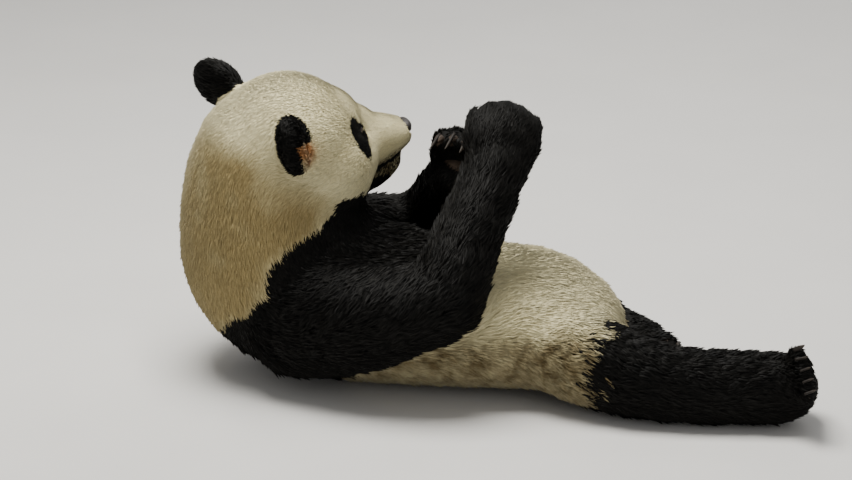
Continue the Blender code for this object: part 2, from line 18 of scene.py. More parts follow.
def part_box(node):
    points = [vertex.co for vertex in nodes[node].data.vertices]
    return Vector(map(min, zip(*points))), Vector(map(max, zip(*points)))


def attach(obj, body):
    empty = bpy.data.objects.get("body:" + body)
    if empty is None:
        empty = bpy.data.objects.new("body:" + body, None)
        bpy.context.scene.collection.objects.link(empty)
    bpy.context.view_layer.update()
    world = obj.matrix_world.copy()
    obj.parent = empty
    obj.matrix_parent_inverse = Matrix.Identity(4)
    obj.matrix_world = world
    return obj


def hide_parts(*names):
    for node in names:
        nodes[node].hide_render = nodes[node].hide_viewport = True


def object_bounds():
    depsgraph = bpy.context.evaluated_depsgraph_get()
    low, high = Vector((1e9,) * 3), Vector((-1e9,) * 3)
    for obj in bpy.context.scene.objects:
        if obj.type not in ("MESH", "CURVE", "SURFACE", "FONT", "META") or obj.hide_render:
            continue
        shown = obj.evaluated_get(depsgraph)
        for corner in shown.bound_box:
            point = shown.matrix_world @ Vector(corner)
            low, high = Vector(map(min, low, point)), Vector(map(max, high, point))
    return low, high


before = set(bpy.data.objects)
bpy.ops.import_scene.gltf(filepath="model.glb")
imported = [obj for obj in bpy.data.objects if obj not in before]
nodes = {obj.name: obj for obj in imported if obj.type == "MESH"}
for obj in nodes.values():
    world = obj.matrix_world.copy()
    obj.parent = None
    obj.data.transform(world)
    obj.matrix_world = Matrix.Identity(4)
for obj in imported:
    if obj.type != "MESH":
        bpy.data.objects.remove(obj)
cad_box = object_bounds()

# ---- what the coat is like
# For each node of flesh: is it dark, how deep the coat is, how long and wide its tufts are, how
# many tufts there are to a square metre, how far their tips gather into locks, and how far the odd
# one stands out.
COAT_KEYS = ("dark", "depth", "length", "width", "density", "gather", "fuzz")
COAT_ROWS = {
    "head": (0, 0.011, 0.019, 0.0019, 370000, 0.02, 0.10),
    "neck": (0, 0.021, 0.028, 0.0023, 250000, 0.06, 0.12),
    "trunk_chest": (1, 0.021, 0.038, 0.0034, 125000, 0.28, 0.3),
    "trunk_belly": (0, 0.019, 0.032, 0.0028, 190000, 0.18, 0.2),
    "tail": (0, 0.013, 0.034, 0.0034, 170000, 0.30, 0.4),
    "ear": (1, 0.0065, 0.020, 0.0018, 520000, 0.04, 0.9),
    "upper_arm": (1, 0.018, 0.036, 0.0033, 130000, 0.28, 0.3),
    "forearm": (1, 0.016, 0.034, 0.0033, 140000, 0.30, 0.3),
    "forepaw": (1, 0.009, 0.019, 0.0026, 240000, 0.16, 0.4),
    "thigh": (1, 0.018, 0.034, 0.0032, 145000, 0.28, 0.3),
    "shank": (1, 0.015, 0.034, 0.0033, 140000, 0.30, 0.3),
    "hind_foot": (1, 0.010, 0.026, 0.0026, 240000, 0.16, 0.5),
}
COAT = {kind: dict(zip(COAT_KEYS, row)) for kind, row in COAT_ROWS.items()}
SIDES = ("left", "right")
LIMBS = {"arm": ("upper_arm", "forearm", "forepaw"), "leg": ("thigh", "shank", "hind_foot")}
PAIRED = ("ear", *LIMBS["arm"], *LIMBS["leg"])
FLESH = ["head", "neck", "trunk_chest", "trunk_belly", "tail"]
FLESH += [f"{kind}_{side}" for kind in PAIRED for side in SIDES]

# The lie of the coat runs from the middle of the first node to the middle of the second.
LIE = {
    "neck": ("head", "trunk_chest"),
    "trunk_chest": ("trunk_chest", "trunk_belly"),
    "trunk_belly": ("trunk_chest", "trunk_belly"),
    "tail": ("trunk_belly", "tail"),
    "ear": ("head", "ear"),
    "upper_arm": ("upper_arm", "forearm"),
    "forearm": ("forearm", "forepaw"),
    "forepaw": ("forearm", "forepaw"),
    "thigh": ("trunk_belly", "shank"),
    "shank": ("shank", "hind_foot"),
    "hind_foot": ("shank", "hind_foot"),
}

SKIN_VOXEL = 0.006
EYE_REFINED = 0.032  # the skin is split this far round the eyes, twice
MUZZLE_REFINED = 0.075  # and this far round the nose, once
SWELL = 0.0009  # closes the thin cuts between nodes before they are fused
LID_THICKNESS = 0.0022  # of the skin over the eyeballs
NOSE_PLACE = np.array((0.113, 0.0, -0.054))  # the nose pad's middle, in the head's axes
NOSE_RADII = np.array((0.014, 0.025, 0.015))  # its reach forward, left and up
REACH = 0.14  # how far from a place the nodes are looked for
BLEND = 0.030  # how gradually one node's lie of the coat gives way to the next,
COAT_BLEND = 0.012  # and its depth, length and the rest
HEAD_WHORL = np.array((0.115, 0.0, -0.045))  # the head's coat lies away from here, in its axes,
HEAD_LIE = np.array((-0.25, 0.0, 0.0))  # and a little straight back besides
FLOOR_CLEARANCE = 0.0012  # of the tufts,
SKIN_CLEARANCE = 0.004  # and of the skin
UNDERSIDE = 0.008  # lower than this the skin has only this share of its tufts
UNDERSIDE_DENSITY = 0.45
SEED = 11
LATTICE = 32  # noise repeats after this many blobs
BAKE_MAP = "OFBake"

# The coat is finer forward on the head, from the first to the second of these, and near an eye,
# from the second to the first of these distances: how much more of each it has there and there.
FACE_FROM = (-0.03, 0.05)
BY_EYE = (0.013, 0.038)
FINER = {"depth": (-0.66, -0.80), "length": (-0.55, -0.55), "width": (-0.30, -0.25),
         "density": (0.9, 0.8)}

NOSE_DROP = math.radians(25.5)  # the nose lies this far below straight ahead of the eyes


# ---- small tools
def kind_of(name):
    for side in SIDES:
        name = name.removesuffix("_" + side)
    return name


def length_of(vectors):
    return np.linalg.norm(vectors, axis=-1)


def unit(vectors):
    return vectors / np.maximum(length_of(vectors)[..., None], 1e-9)


def ramp(values, low, high):
    """0 below low, 1 above high, and smooth between."""
    amount = np.clip((values - low) / (high - low), 0.0, 1.0)
    return amount * amount * (3.0 - 2.0 * amount)


def noise(points, size, seed):
    """Smooth noise from 0 to 1, with blobs about size across."""
    lattice = np.random.default_rng(seed).random((LATTICE,) * 3)
    scaled = points / size
    base = np.floor(scaled).astype(int)
    part = scaled - base
    part = part * part * (3.0 - 2.0 * part)
    total = np.zeros(len(points))
    for corner in np.ndindex(2, 2, 2):
        weight = np.prod(np.where(np.array(corner) == 1, part, 1.0 - part), axis=1)
        cell = (base + corner) % LATTICE
        total += weight * lattice[cell[:, 0], cell[:, 1], cell[:, 2]]
    return total


def wobble(points, size, seed):
    """The same noise, from -0.5 to 0.5."""
    return noise(points, size, seed) - 0.5


def read(items, attribute, width=3, kind=np.float32):
    """One attribute of all of a mesh's items, with a row for each."""
    found = np.empty(len(items) * width, kind)
    items.foreach_get(attribute, found)
    return found.reshape(-1, width)


def points_of(mesh):
    return read(mesh.vertices, "co").astype(float)


def set_points(mesh, points):
    mesh.vertices.foreach_set("co", points.astype(np.float32).ravel())
    mesh.update()


def normals_of(mesh):
    return read(mesh.vertex_normals, "vector").astype(float)


def spread_over(values, edges, rounds):
    """Averages a value, or a row of values, with its neighbours' on the mesh."""
    values = values.reshape(len(values), -1).astype(float)
    count = np.bincount(edges.ravel(), minlength=len(values))[:, None] + 1.0
    for _ in range(rounds):
        total = values.copy()
        for column in range(values.shape[1]):
            total[:, column] += np.bincount(edges[:, 0], values[edges[:, 1], column], len(values))
            total[:, column] += np.bincount(edges[:, 1], values[edges[:, 0], column], len(values))
        values = total / count
    return values.squeeze()


def tree_of(mesh):
    return BVHTree.FromPolygons([v.co for v in mesh.vertices],
                                [p.vertices[:] for p in mesh.polygons])


def node_middle(name):
    return points_of(nodes[name].data).mean(axis=0)


def near(distances, *names):
    """Distance from each point to the nearest of these nodes of flesh."""
    return distances[:, [FLESH.index(name) for name in names]].min(axis=1)


def link(name, data):
    made = bpy.data.objects.new(name, data)
    bpy.context.scene.collection.objects.link(made)
    return made


def settle(made, name):
    """A smooth mesh of what the bmesh holds."""
    mesh = bpy.data.meshes.new(name)
    made.to_mesh(mesh)
    made.free()
    mesh.shade_smooth()
    return mesh


def add_piece(name, mesh, slot, *materials):
    """A piece of the panda: it rides the one still body. Its slot is not used."""
    for material in materials:
        mesh.materials.append(material)
    made = link(name, mesh)
    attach(made, "root")
    return made


def set_attribute(mesh, name, values):
    attribute = mesh.attributes.new(name, "FLOAT", "POINT")
    attribute.data.foreach_set("value", np.asarray(values, np.float32))


# ---- the head's own axes
def head_axes():
    """Origin midway between the eyes, and a 3x3 whose rows are forward, left and up."""
    middle = {name: np.array(sum(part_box(name), Vector())) / 2.0
              for name in ("eye_left", "eye_right", "nose")}
    origin = (middle["eye_left"] + middle["eye_right"]) / 2.0
    leftward = unit(middle["eye_left"] - middle["eye_right"])
    towards_nose = middle["nose"] - origin
    towards_nose = towards_nose - leftward * (towards_nose @ leftward)
    turn = Matrix.Rotation(-NOSE_DROP, 3, Vector(leftward))
    forward = unit(np.array(turn @ Vector(towards_nose)))
    return origin, np.array((forward, leftward, np.cross(forward, leftward)))


HEAD_ORIGIN, HEAD_AXES = head_axes()


def in_head(points):
    """Forward, left and up of the point midway between the eyes."""
    return (points - HEAD_ORIGIN) @ HEAD_AXES.T


def from_head(places):
    return HEAD_ORIGIN + places @ HEAD_AXES


# ---- eyes and paws: where they are
GAZE = np.array((0.80, 0.60, 0.0))  # where the left eye looks, in the head's axes
OUTWARD = np.array((-0.60, 0.80, 0.0))  # away from the nose, across that gaze
EYE_SLANT = math.radians(22.0)  # the outer corner of the eye is the higher one


def eye_axes(side):
    """An eye's middle, its radius, and a 3x3 whose rows are its opening's length, height, gaze."""
    low, high = (np.array(corner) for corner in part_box("eye_" + side))
    mirror = np.array((1.0, 1.0 if side == "left" else -1.0, 1.0))
    gaze = (GAZE * mirror) @ HEAD_AXES
    outward = (OUTWARD * mirror) @ HEAD_AXES
    length = outward * math.cos(EYE_SLANT) + HEAD_AXES[2] * math.sin(EYE_SLANT)
    radius = (high - low).max() / 2.0
    return (low + high) / 2.0, radius, np.array((length, np.cross(gaze, length), gaze))


EYES = {side: eye_axes(side) for side in SIDES}

# How far a claw's chord leans from straight out of the palm towards the digits, and where the
# middle claw's tip is, along the paw and out of the palm.
CLAW_LEAN = {"fore": math.radians(-9.7), "hind": math.radians(52.7)}
CLAW_TIP = {"fore": (0.1005, 0.072), "hind": (0.1328, 0.0419)}
PAW_NODES = {"fore": "forepaw_", "hind": "hind_foot_"}


def claw_ends(limb, side, number):
    """Where a claw leaves the paw, and its tip."""
    points = points_of(nodes[f"claw_{limb}_{side}_{number}"].data)
    away = length_of(points - node_middle(PAW_NODES[limb] + side))
    tip = points[away.argmax()]
    reach = length_of(points - tip)
    return points[reach > 0.75 * reach.max()].mean(axis=0), tip


def paw_axes(limb, side):
    """A paw's origin, and a 3x3 whose rows run along the digits, across them, out of the palm."""
    ends = {number: claw_ends(limb, side, number) for number in (1, 3, 5)}
    across = unit(sum(ends[5]) - sum(ends[1]))
    chord = ends[3][1] - ends[3][0]
    chord = unit(chord - across * (chord @ across))
    level = unit(np.cross(across, chord))
    if level @ (ends[3][1] - node_middle(PAW_NODES[limb] + side)) < 0.0:
        level = -level
    lean = CLAW_LEAN[limb]
    palm = chord * math.cos(lean) - level * math.sin(lean)
    digits = level * math.cos(lean) + chord * math.sin(lean)
    reach, drop = CLAW_TIP[limb]
    return ends[3][1] - digits * reach - palm * drop, np.array((digits, across, palm))


PAWS = {(limb, side): paw_axes(limb, side) for limb in PAW_NODES for side in SIDES}

# Bare pads: along the paw, across it, half length, half width, rise, and how far its ends bend back.
PADS = {
    "fore": [(0.040, 0.0, 0.0150, 0.0420, 0.0085, 0.010), (-0.004, 0.026, 0.014, 0.016, 0.008, 0.0)],
    "hind": [(0.052, 0.0, 0.0150, 0.0370, 0.0075, 0.008)],
}
# The digits' pads lie on an arc: its middle and radius along the paw, the degrees and the width
# from one pad to the next, and their half length, half width and rise.
DIGIT_PADS = {
    "fore": (0.046, 0.050, 24.0, 0.0265, 0.0125, 0.0105, 0.008),
    "hind": (0.080, 0.012, 18.0, 0.0205, 0.0105, 0.0090, 0.007),
}
for limb, (middle, arc, turn, apart, *shape) in DIGIT_PADS.items():
    for step in (-2, -1, 0, 1, 2):
        along = middle + arc * math.cos(math.radians(turn * step))
        PADS[limb].append((along, apart * step, *shape, 0.0))


# ---- skin
def refine(mesh, centres, reach, rounds):
    """Splits the edges near each centre, so the skin can hold finer shapes there."""
    finer = bmesh.new()
    finer.from_mesh(mesh)
    for _ in range(rounds):
        close = [edge for edge in finer.edges
                 if min((edge.verts[0].co - centre).length for centre in centres) < reach]
        bmesh.ops.subdivide_edges(finer, edges=close, cuts=1, use_grid_fill=True)
    finer.to_mesh(mesh)
    finer.free()


def fused_flesh():
    """Every node of flesh, the eyes and the nose pad, as one closed mesh of even squares."""
    joined = bmesh.new()
    for name in FLESH + ["nose", "eye_left", "eye_right"]:
        swell = LID_THICKNESS if name.startswith("eye") else SWELL
        part = bmesh.new()
        part.from_mesh(nodes[name].data)
        bmesh.ops.remove_doubles(part, verts=part.verts, dist=1e-6)
        part.normal_update()
        for vertex in part.verts:
            vertex.co += vertex.normal * swell
        mesh = settle(part, "part")
        joined.from_mesh(mesh)
        bpy.data.meshes.remove(mesh)
    body = link("skin", settle(joined, "skin"))
    remesh = body.modifiers.new("fuse", "REMESH")
    remesh.mode = "VOXEL"
    remesh.voxel_size = SKIN_VOXEL
    depsgraph = bpy.context.evaluated_depsgraph_get()
    fused = bpy.data.meshes.new_from_object(body.evaluated_get(depsgraph))
    bpy.data.objects.remove(body, do_unlink=True)
    fused.name = "skin"
    refine(fused, [Vector(EYES[side][0]) for side in SIDES], EYE_REFINED, 2)
    refine(fused, [Vector(from_head(NOSE_PLACE))], MUZZLE_REFINED, 1)
    return fused


def node_distances(points):
    """Distance from each point to each node of flesh, at most REACH."""
    found = np.full((len(points), len(FLESH)), REACH)
    for column, name in enumerate(FLESH):
        tree = tree_of(nodes[name].data)
        low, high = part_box(name)
        close = np.all((points > np.array(low) - REACH) & (points < np.array(high) + REACH), axis=1)
        for index in np.flatnonzero(close):
            distance = tree.find_nearest(Vector(points[index]), REACH)[3]
            if distance is not None:
                found[index, column] = distance
    return found


def along_skin(vectors, normals):
    """The way each vector points along the skin."""
    return unit(vectors - normals * np.sum(vectors * normals, axis=1, keepdims=True))


def say_of(distances, blend):
    """How much say each node has in the coat of each point."""
    return np.exp(-(distances - distances.min(axis=1, keepdims=True)) / blend)


def lie_of_coat(points, normals, distances, edges):
    """The direction in which the coat lies at each point, along the skin."""
    directions = []
    for name in FLESH:
        kind = kind_of(name)
        if kind == "head":
            backwards = in_head(points) - HEAD_WHORL
            directions.append(unit(unit(backwards) + HEAD_LIE) @ HEAD_AXES)
            continue
        ends = [node_middle(end + name[len(kind):] if end in PAIRED else end) for end in LIE[kind]]
        directions.append(np.broadcast_to(unit(ends[1] - ends[0]), points.shape))
    weights = say_of(distances, BLEND)
    flow = unit(sum(weights[:, [k]] * directions[k] for k in range(len(FLESH))))
    for rounds in (12, 6):
        flow = along_skin(spread_over(flow, edges, rounds), normals)
    return flow


def by_node(distances, key):
    """A value of COAT at each point, blended across the borders between nodes."""
    weights = say_of(distances, COAT_BLEND)
    values = np.array([COAT[kind_of(name)][key] for name in FLESH], float)
    return weights @ values / weights.sum(axis=1)


# ---- markings
# The dark patch round the left eye, in the head's axes: a long drop on the temple, and the eye.
PATCH_CENTRE = np.array((-0.011, 0.092, 0.005))
PATCH_LONG_AXIS = unit(np.array((-0.001, 0.051, -0.068)))
PATCH_HALF_LENGTH = 0.045
PATCH_HALF_WIDTH = 0.030
EYE_ROUND = np.array((0.000, 0.056, -0.004))
EYE_ROUND_RADIUS = 0.022
PATCH_BLEND = 0.14  # how the two run together
PATCH_BACK = -0.06  # and how far back they reach

# The white of the head and nape ends, on the neck, chest and shoulders, at this slanted plane,
# which swings forward or back of it at these heights.
COLLAR_SHARE = np.array((0.1782, 0.5, 0.4156))  # its middle, as a share of the CAD box
COLLAR_PLACE = np.array(cad_box[0]) * (1.0 - COLLAR_SHARE) + np.array(cad_box[1]) * COLLAR_SHARE
COLLAR_NORMAL = unit(np.array((-0.82, 0.0, 0.57)))
COLLAR_HEIGHTS = (0.160, 0.190, 0.220, 0.250, 0.270, 0.310, 0.326, 0.345, 0.360)
COLLAR_SWINGS = (0.028, 0.008, 0.002, 0.012, 0.021, 0.022, 0.016, -0.014, -0.026)
COLLARED = ("trunk_chest", "upper_arm_left", "upper_arm_right")
CHEEK_BOTTOM = 0.392  # height at which the cheeks' white ends over the chest
THIGH_WHITE = 0.046  # how far short of the right thigh's middle its dark begins
FOLDED_THIGH_WHITE = 0.012  # how far from the belly the dark of the folded left leg begins
THIGH_REACH = (0.02, 0.09)  # nearer than the first is by a thigh, further than the second not
RAGGED = (0.014, 0.046)  # how ragged the dark's edge is, and how much more so by a thigh
MIXED = (0.004, 0.014)  # over how much of the coat it fades, and how much more by a thigh

# Dirt and painted shade lie on the hips, darker low down: up to the first of these heights and
# fading to the second. On the jowls, as stain and painted shadow of the mouth, they deepen over
# these drops below the mouth, and over these places forward on the head.
HIP_REACH = 0.05
DIRT_AND_SHADE_HEIGHTS = (0.125, 0.190)
DIRT_AND_SHADE_RISE = 0.028  # how much higher it reaches by a thigh
JOWL_DROP = (-0.030, 0.006)
JOWL_FRONT = (-0.050, 0.030)
# Tan and painted shade lie round the neck, most on its flanks and low down, and fade towards the
# collar.
NAPE_REACH = 0.07
NECK_HEIGHTS = (0.27, 0.40)
NECK_WIDTHS = (0.03, 0.13)
COLLAR_PALE = 0.055

MOUTH_FRONT = 0.118  # how far forward the lips meet, and how low, in the head's axes
MOUTH_DROP = -0.089
MOUTH_SLOPE = 0.16  # how the line between the lips falls towards the back,
MOUTH_STRAIGHT = 0.060  # and how it curves up again from this far back
MOUTH_SMILE = 2.0
MOUTH_BACK = 0.018  # where the corner of the mouth is
LIP_HALF_WIDTH = 0.006
LIP_GROOVE_WIDTH = 0.0042  # of the fold in the skin where the lips meet
LIP_GROOVE_DEPTH = 0.0045
CHIN_SHADE = 0.25  # below the mouth, dark and brown tufts mixed: painted shadow of the mouth and the chin, with stain
CHIN_BACK = -0.010  # how far back the painted shadow and stain below the mouth reach
CHIN_MIXED = 0.010  # over how much of it dark gives way to light
EAR_FRONT = -0.119  # an ear's dark runs on over the head as far forward as this,
EAR_FRONT_LOW = 0.066  # as low as this,
EAR_FRONT_REACH = 0.013  # and as far from the ear as this
EAR_FRONT_DEPTH = 0.035  # how far back of its front edge that dark goes
EAR_DARK_FRONT = -0.166  # forward of this the right ear's edge is light, below this height
EAR_DARK_LOW = 0.089
EAR_SLANT = 0.95  # the light begins lower towards the face,
EAR_LEVEL = 0.006  # from this far ahead of where it starts
RUST_PLACES = ((-0.156, -0.191, 0.077), (-0.136, -0.160, 0.052))  # on that edge, and by it
RUST_SIZES = (0.020, 0.023)
RUST_STRENGTH = 1.6


def eye_patch(places):
    """Over 1 inside the dark patch round either eye, falling to 0 away from it."""
    inside = np.zeros(len(places))
    for side in (1.0, -1.0):
        mirror = np.array((1.0, side, 1.0))
        offset = places * mirror - PATCH_CENTRE
        along = offset @ PATCH_LONG_AXIS
        across = length_of(offset - along[:, None] * PATCH_LONG_AXIS)
        radius = np.hypot(along / PATCH_HALF_LENGTH, across / PATCH_HALF_WIDTH)
        round_eye = length_of(places * mirror - EYE_ROUND) / EYE_ROUND_RADIUS
        nearer = np.exp(-radius / PATCH_BLEND) + np.exp(-round_eye / PATCH_BLEND)
        inside = np.maximum(inside, 2.0 + PATCH_BLEND * np.log(nearer + 1e-12))
    return inside


def off_the_mouth(places):
    """How far above or below the line between the lips each place is."""
    back = np.clip(MOUTH_FRONT - places[:, 0], 0.0, None)
    curve = MOUTH_SMILE * np.clip(back - MOUTH_STRAIGHT, 0.0, None) ** 2
    return places[:, 2] - (MOUTH_DROP - MOUTH_SLOPE * back + curve)


def near_mouth(places):
    """1 on the muzzle as far back as the corner of the mouth, 0 behind it."""
    return ramp(places[:, 0], MOUTH_BACK - 0.008, MOUTH_BACK + 0.006)


def blot(places, middle, size):
    """A soft round spot."""
    return np.exp(-((length_of(places - np.array(middle)) / size) ** 2))


def collar(points):
    """How far each point lies on the dark side of the line where the white of the head ends."""
    swing = np.interp(points[:, 2], COLLAR_HEIGHTS, COLLAR_SWINGS)
    return (COLLAR_PLACE - points) @ COLLAR_NORMAL + swing


def both(kind):
    return [f"{kind}_{side}" for side in SIDES]


def dark_edge(points, distances):
    """How far inside the dark of the body each point lies, apart from the markings of the face."""
    dark = [name for name in FLESH if COAT[kind_of(name)]["dark"] and kind_of(name) != "thigh"]
    edge = near(distances, "trunk_belly", "tail") - near(distances, *dark)
    nearest = np.array(FLESH)[distances.argmin(axis=1)]
    behind_collar = collar(points)
    edge = np.where(np.isin(nearest, COLLARED), np.minimum(edge, behind_collar), edge)
    edge = np.where(nearest == "neck", behind_collar, edge)
    under_cheek = np.minimum(behind_collar, CHEEK_BOTTOM - points[:, 2])
    edge = np.where(nearest == "head", under_cheek, edge)
    hip = node_middle("thigh_right")
    along = (points - hip) @ unit(node_middle("shank_right") - hip) + THIGH_WHITE
    edge = np.where(nearest == "thigh_right", along, edge)
    off_belly = near(distances, "trunk_belly") - FOLDED_THIGH_WHITE
    return np.where(nearest == "thigh_left", off_belly, edge)


MARKS = ("shade", "tan", "dirt", "rust")
MOST_SHADE = 4.0  # shade runs from minus this, all light, to this, all dark
SHARP = 0.0025  # how far a marking of the face takes to turn from light to dark
ON_HEAD = 0.004  # a place this near the head is on it
ON_FACE = 0.002  # the same, where the skin is finer or creased
ON_EAR = 0.003
# How much of its own shape the face, an ear, the skin round an eye and a paw keep; the rest of the
# skin is calmed.
KEPT = (0.8, 0.75, 0.9, 0.7)


def chance_of_dark(shade):
    """How likely a tuft is to be dark."""
    return np.clip(0.5 + 0.5 * shade, 0.0, 1.0)


def face_shade(points, places, on_head):
    """How far inside the dark of the eye patches, lips and the chin's painted shadow each point is.
    """
    patch = (eye_patch(places) - 1.0) * PATCH_HALF_WIDTH + 0.002 * wobble(points, 0.010, 3)
    shade = np.where(places[:, 0] > PATCH_BACK, patch / SHARP, -MOST_SHADE)
    lips = LIP_HALF_WIDTH - np.abs(off_the_mouth(places)) + 0.004 * wobble(points, 0.008, 8)
    lips = np.where((near_mouth(places) > 0.5) & on_head, lips / SHARP, -MOST_SHADE)
    # the chin below the mouth: painted shadow of the mouth, with stain
    shaded_chin = np.minimum(LIP_HALF_WIDTH - off_the_mouth(places), places[:, 0] - CHIN_BACK)
    shaded_chin = (shaded_chin + 0.012 * wobble(points, 0.014, 9)) / CHIN_MIXED
    shaded_chin = np.where(on_head, np.minimum(shaded_chin, CHIN_SHADE), -MOST_SHADE)
    return np.max((shade, lips, shaded_chin), axis=0)


def ear_shade(points, places, distances, shade):
    """The shade, with the dark before each ear, and the light edge of the right one."""
    ear_front = np.min((EAR_FRONT - places[:, 0], places[:, 2] - EAR_FRONT_LOW,
                        EAR_FRONT_REACH - near(distances, *both("ear"))), axis=0)
    before_ear = (near(distances, "head") < ON_HEAD) & (places[:, 0] > EAR_FRONT - EAR_FRONT_DEPTH)
    shade = np.maximum(shade, np.where(before_ear, ear_front / SHARP, -MOST_SHADE))
    ahead = places[:, 0] - EAR_DARK_FRONT
    low_ear = EAR_DARK_LOW - EAR_SLANT * np.clip(ahead - EAR_LEVEL, 0.0, None)
    light = np.minimum(ahead, low_ear - places[:, 2]) + 0.004 * wobble(points, 0.010, 11)
    on_ear = near(distances, "ear_right") < ON_EAR
    return np.where(on_ear, np.minimum(shade, -light / SHARP), shade)


def dirt_tan_and_shade(points, places, distances, near_thigh, on_head):
    """How dirty and how tan the light fur is at each point, with painted shade in both: near the
    floor, below the mouth and low on the neck.
    """
    near_hip = 1.0 - ramp(near(distances, "trunk_belly", *both("thigh")), 0.0, HIP_REACH)
    height = points[:, 2] + 0.03 * noise(points, 0.05, 10) - DIRT_AND_SHADE_RISE * near_thigh
    # darker towards the floor: dirt and painted shade
    low_down = 1.0 - ramp(height, *DIRT_AND_SHADE_HEIGHTS)
    blotches = noise(points, 0.06, 4) * noise(points, 0.020, 5)
    dirt = near_hip * (0.10 + low_down * (0.70 + 0.20 * near_thigh + 0.8 * blotches))
    # the jowls' brown: stain and painted shadow of the mouth
    shaded_jowl = ramp(-off_the_mouth(places), *JOWL_DROP) * ramp(places[:, 0], *JOWL_FRONT) * on_head
    dirt = dirt + shaded_jowl * (0.45 + 0.9 * noise(points, 0.018, 9))
    nape = 1.0 - ramp(near(distances, "neck"), 0.0, NAPE_REACH)
    low_neck = 1.0 - ramp(points[:, 2], *NECK_HEIGHTS)
    flank = ramp(np.abs(points[:, 1]), *NECK_WIDTHS) * ramp(-collar(points), 0.0, COLLAR_PALE)
    # the neck's tan, more of it low down, is partly painted shade
    tan = 0.10 + nape * (0.40 + flank * (0.22 + 0.45 * noise(points, 0.06, 6)) + 0.20 * low_neck)
    return dirt, tan + 0.25 * wobble(points, 0.025, 7)


def markings(points, distances):
    """The coat's shade at each point, over 0 where it is dark, and how tan, dirty and rusty it is;
    the tan and the dirt carry painted shade as well.
    """
    places = in_head(points)
    on_head = near(distances, "head") < ON_HEAD
    near_thigh = 1.0 - ramp(near(distances, *both("thigh")), *THIGH_REACH)
    edge = dark_edge(points, distances)
    edge = edge + (RAGGED[0] + RAGGED[1] * near_thigh) * wobble(points, 0.035, 1)
    edge = edge + 0.010 * wobble(points, 0.012, 2)
    shade = edge / (MIXED[0] + MIXED[1] * near_thigh)
    shade = np.maximum(shade, face_shade(points, places, on_head))
    shade = ear_shade(points, places, distances, shade)
    rust = RUST_STRENGTH * sum(blot(places, *spot) for spot in zip(RUST_PLACES, RUST_SIZES))
    dirt, tan = dirt_tan_and_shade(points, places, distances, near_thigh, on_head)
    tints = [np.clip(tint, 0.0, 1.0) for tint in (tan, dirt, rust)]
    return [np.clip(shade, -MOST_SHADE, MOST_SHADE)] + tints


OPENING_HALF_LENGTH = 0.80  # of the eyelids, in eye radii
OPENING_HALF_HEIGHT = 0.52
OPENING_POWER = 1.7  # 1 would make the opening a diamond, 2 an oval
OPENING_TAPER = 0.25  # it is lower towards its outer corner
# From the middle of the opening, which is 0, to its edge, which is 1, and past it.
LID_RIM = (0.90, 1.12)
LID_CREASE = (1.30, 1.60)
CREASE_DEPTH = 0.0012
# In eye radii: the socket, the rims of the lids, the lids, and how far they shape the skin.
SOCKET = 0.80
RIM_RADIUS = 1.11
LID_RADIUS = 1.13
LIDS_REACH = 1.75
# In radii of the eye, the nose pad and the pads of the paws: where the skin is bare.
BARE_LIDS = 1.22
BARE_NOSE = 1.04
BARE_PAD = 1.02
PAW_DEPTH = 0.08  # how far out of the paw its palm can be


def shape_lids(points):
    """Opens the skin over each eye, with lids that lie close on the eyeball."""
    for middle, radius, axes in EYES.values():
        away = points - middle
        distance = length_of(away)
        close = distance < LIDS_REACH * radius
        local = (away[close] / distance[close, None]) @ axes.T
        across = local[:, 0] / OPENING_HALF_LENGTH
        up = np.abs(local[:, 1]) / (OPENING_HALF_HEIGHT * (1.0 - OPENING_TAPER * across))
        span = (np.abs(across) ** OPENING_POWER + up ** OPENING_POWER) ** (1.0 / OPENING_POWER)
        ahead = local[:, 2] > 0.0
        inside = ahead & (span < LID_RIM[0])
        margin = ahead & (span >= LID_RIM[0]) & (span < LID_RIM[1])
        crease = ahead & (span > LID_CREASE[0]) & (span < LID_CREASE[1])
        flat = local[:, :2] / np.where(margin, span, 1.0)[:, None]
        depth = np.sqrt(np.clip(1.0 - np.sum(flat ** 2, axis=1), 0.0, 1.0))
        moved = unit(np.column_stack((flat, np.where(ahead, depth, -depth))))
        reach = np.maximum(distance[close], LID_RADIUS * radius)
        reach = np.where(margin, RIM_RADIUS * radius, reach)
        reach = np.where(inside, SOCKET * radius, reach)
        reach = np.where(crease, reach - CREASE_DEPTH, reach)
        points[close] = middle + (moved * reach[:, None]) @ axes
    return points


def bare_places(points, places):
    """1 where no fur grows: inside the eyelids, on the nose and on the pads of the paws."""
    bare = np.zeros(len(points))
    for middle, radius, _ in EYES.values():
        bare = np.maximum(bare, length_of(points - middle) < BARE_LIDS * radius)
    pad = (places - NOSE_PLACE) / NOSE_RADII
    bare = np.maximum(bare, length_of(pad) < BARE_NOSE)
    for (limb, _), (origin, axes) in PAWS.items():
        local = (points - origin) @ axes.T
        palmar = (local[:, 2] > 0.0) & (local[:, 2] < PAW_DEPTH)
        for reach, spread, half_length, half_width, _, bend in PADS[limb]:
            across = (local[:, 1] - spread) / half_width
            along = (local[:, 0] - reach + bend * across ** 2) / half_length
            bare = np.maximum(bare, (np.hypot(along, across) < BARE_PAD) & palmar)
    return bare


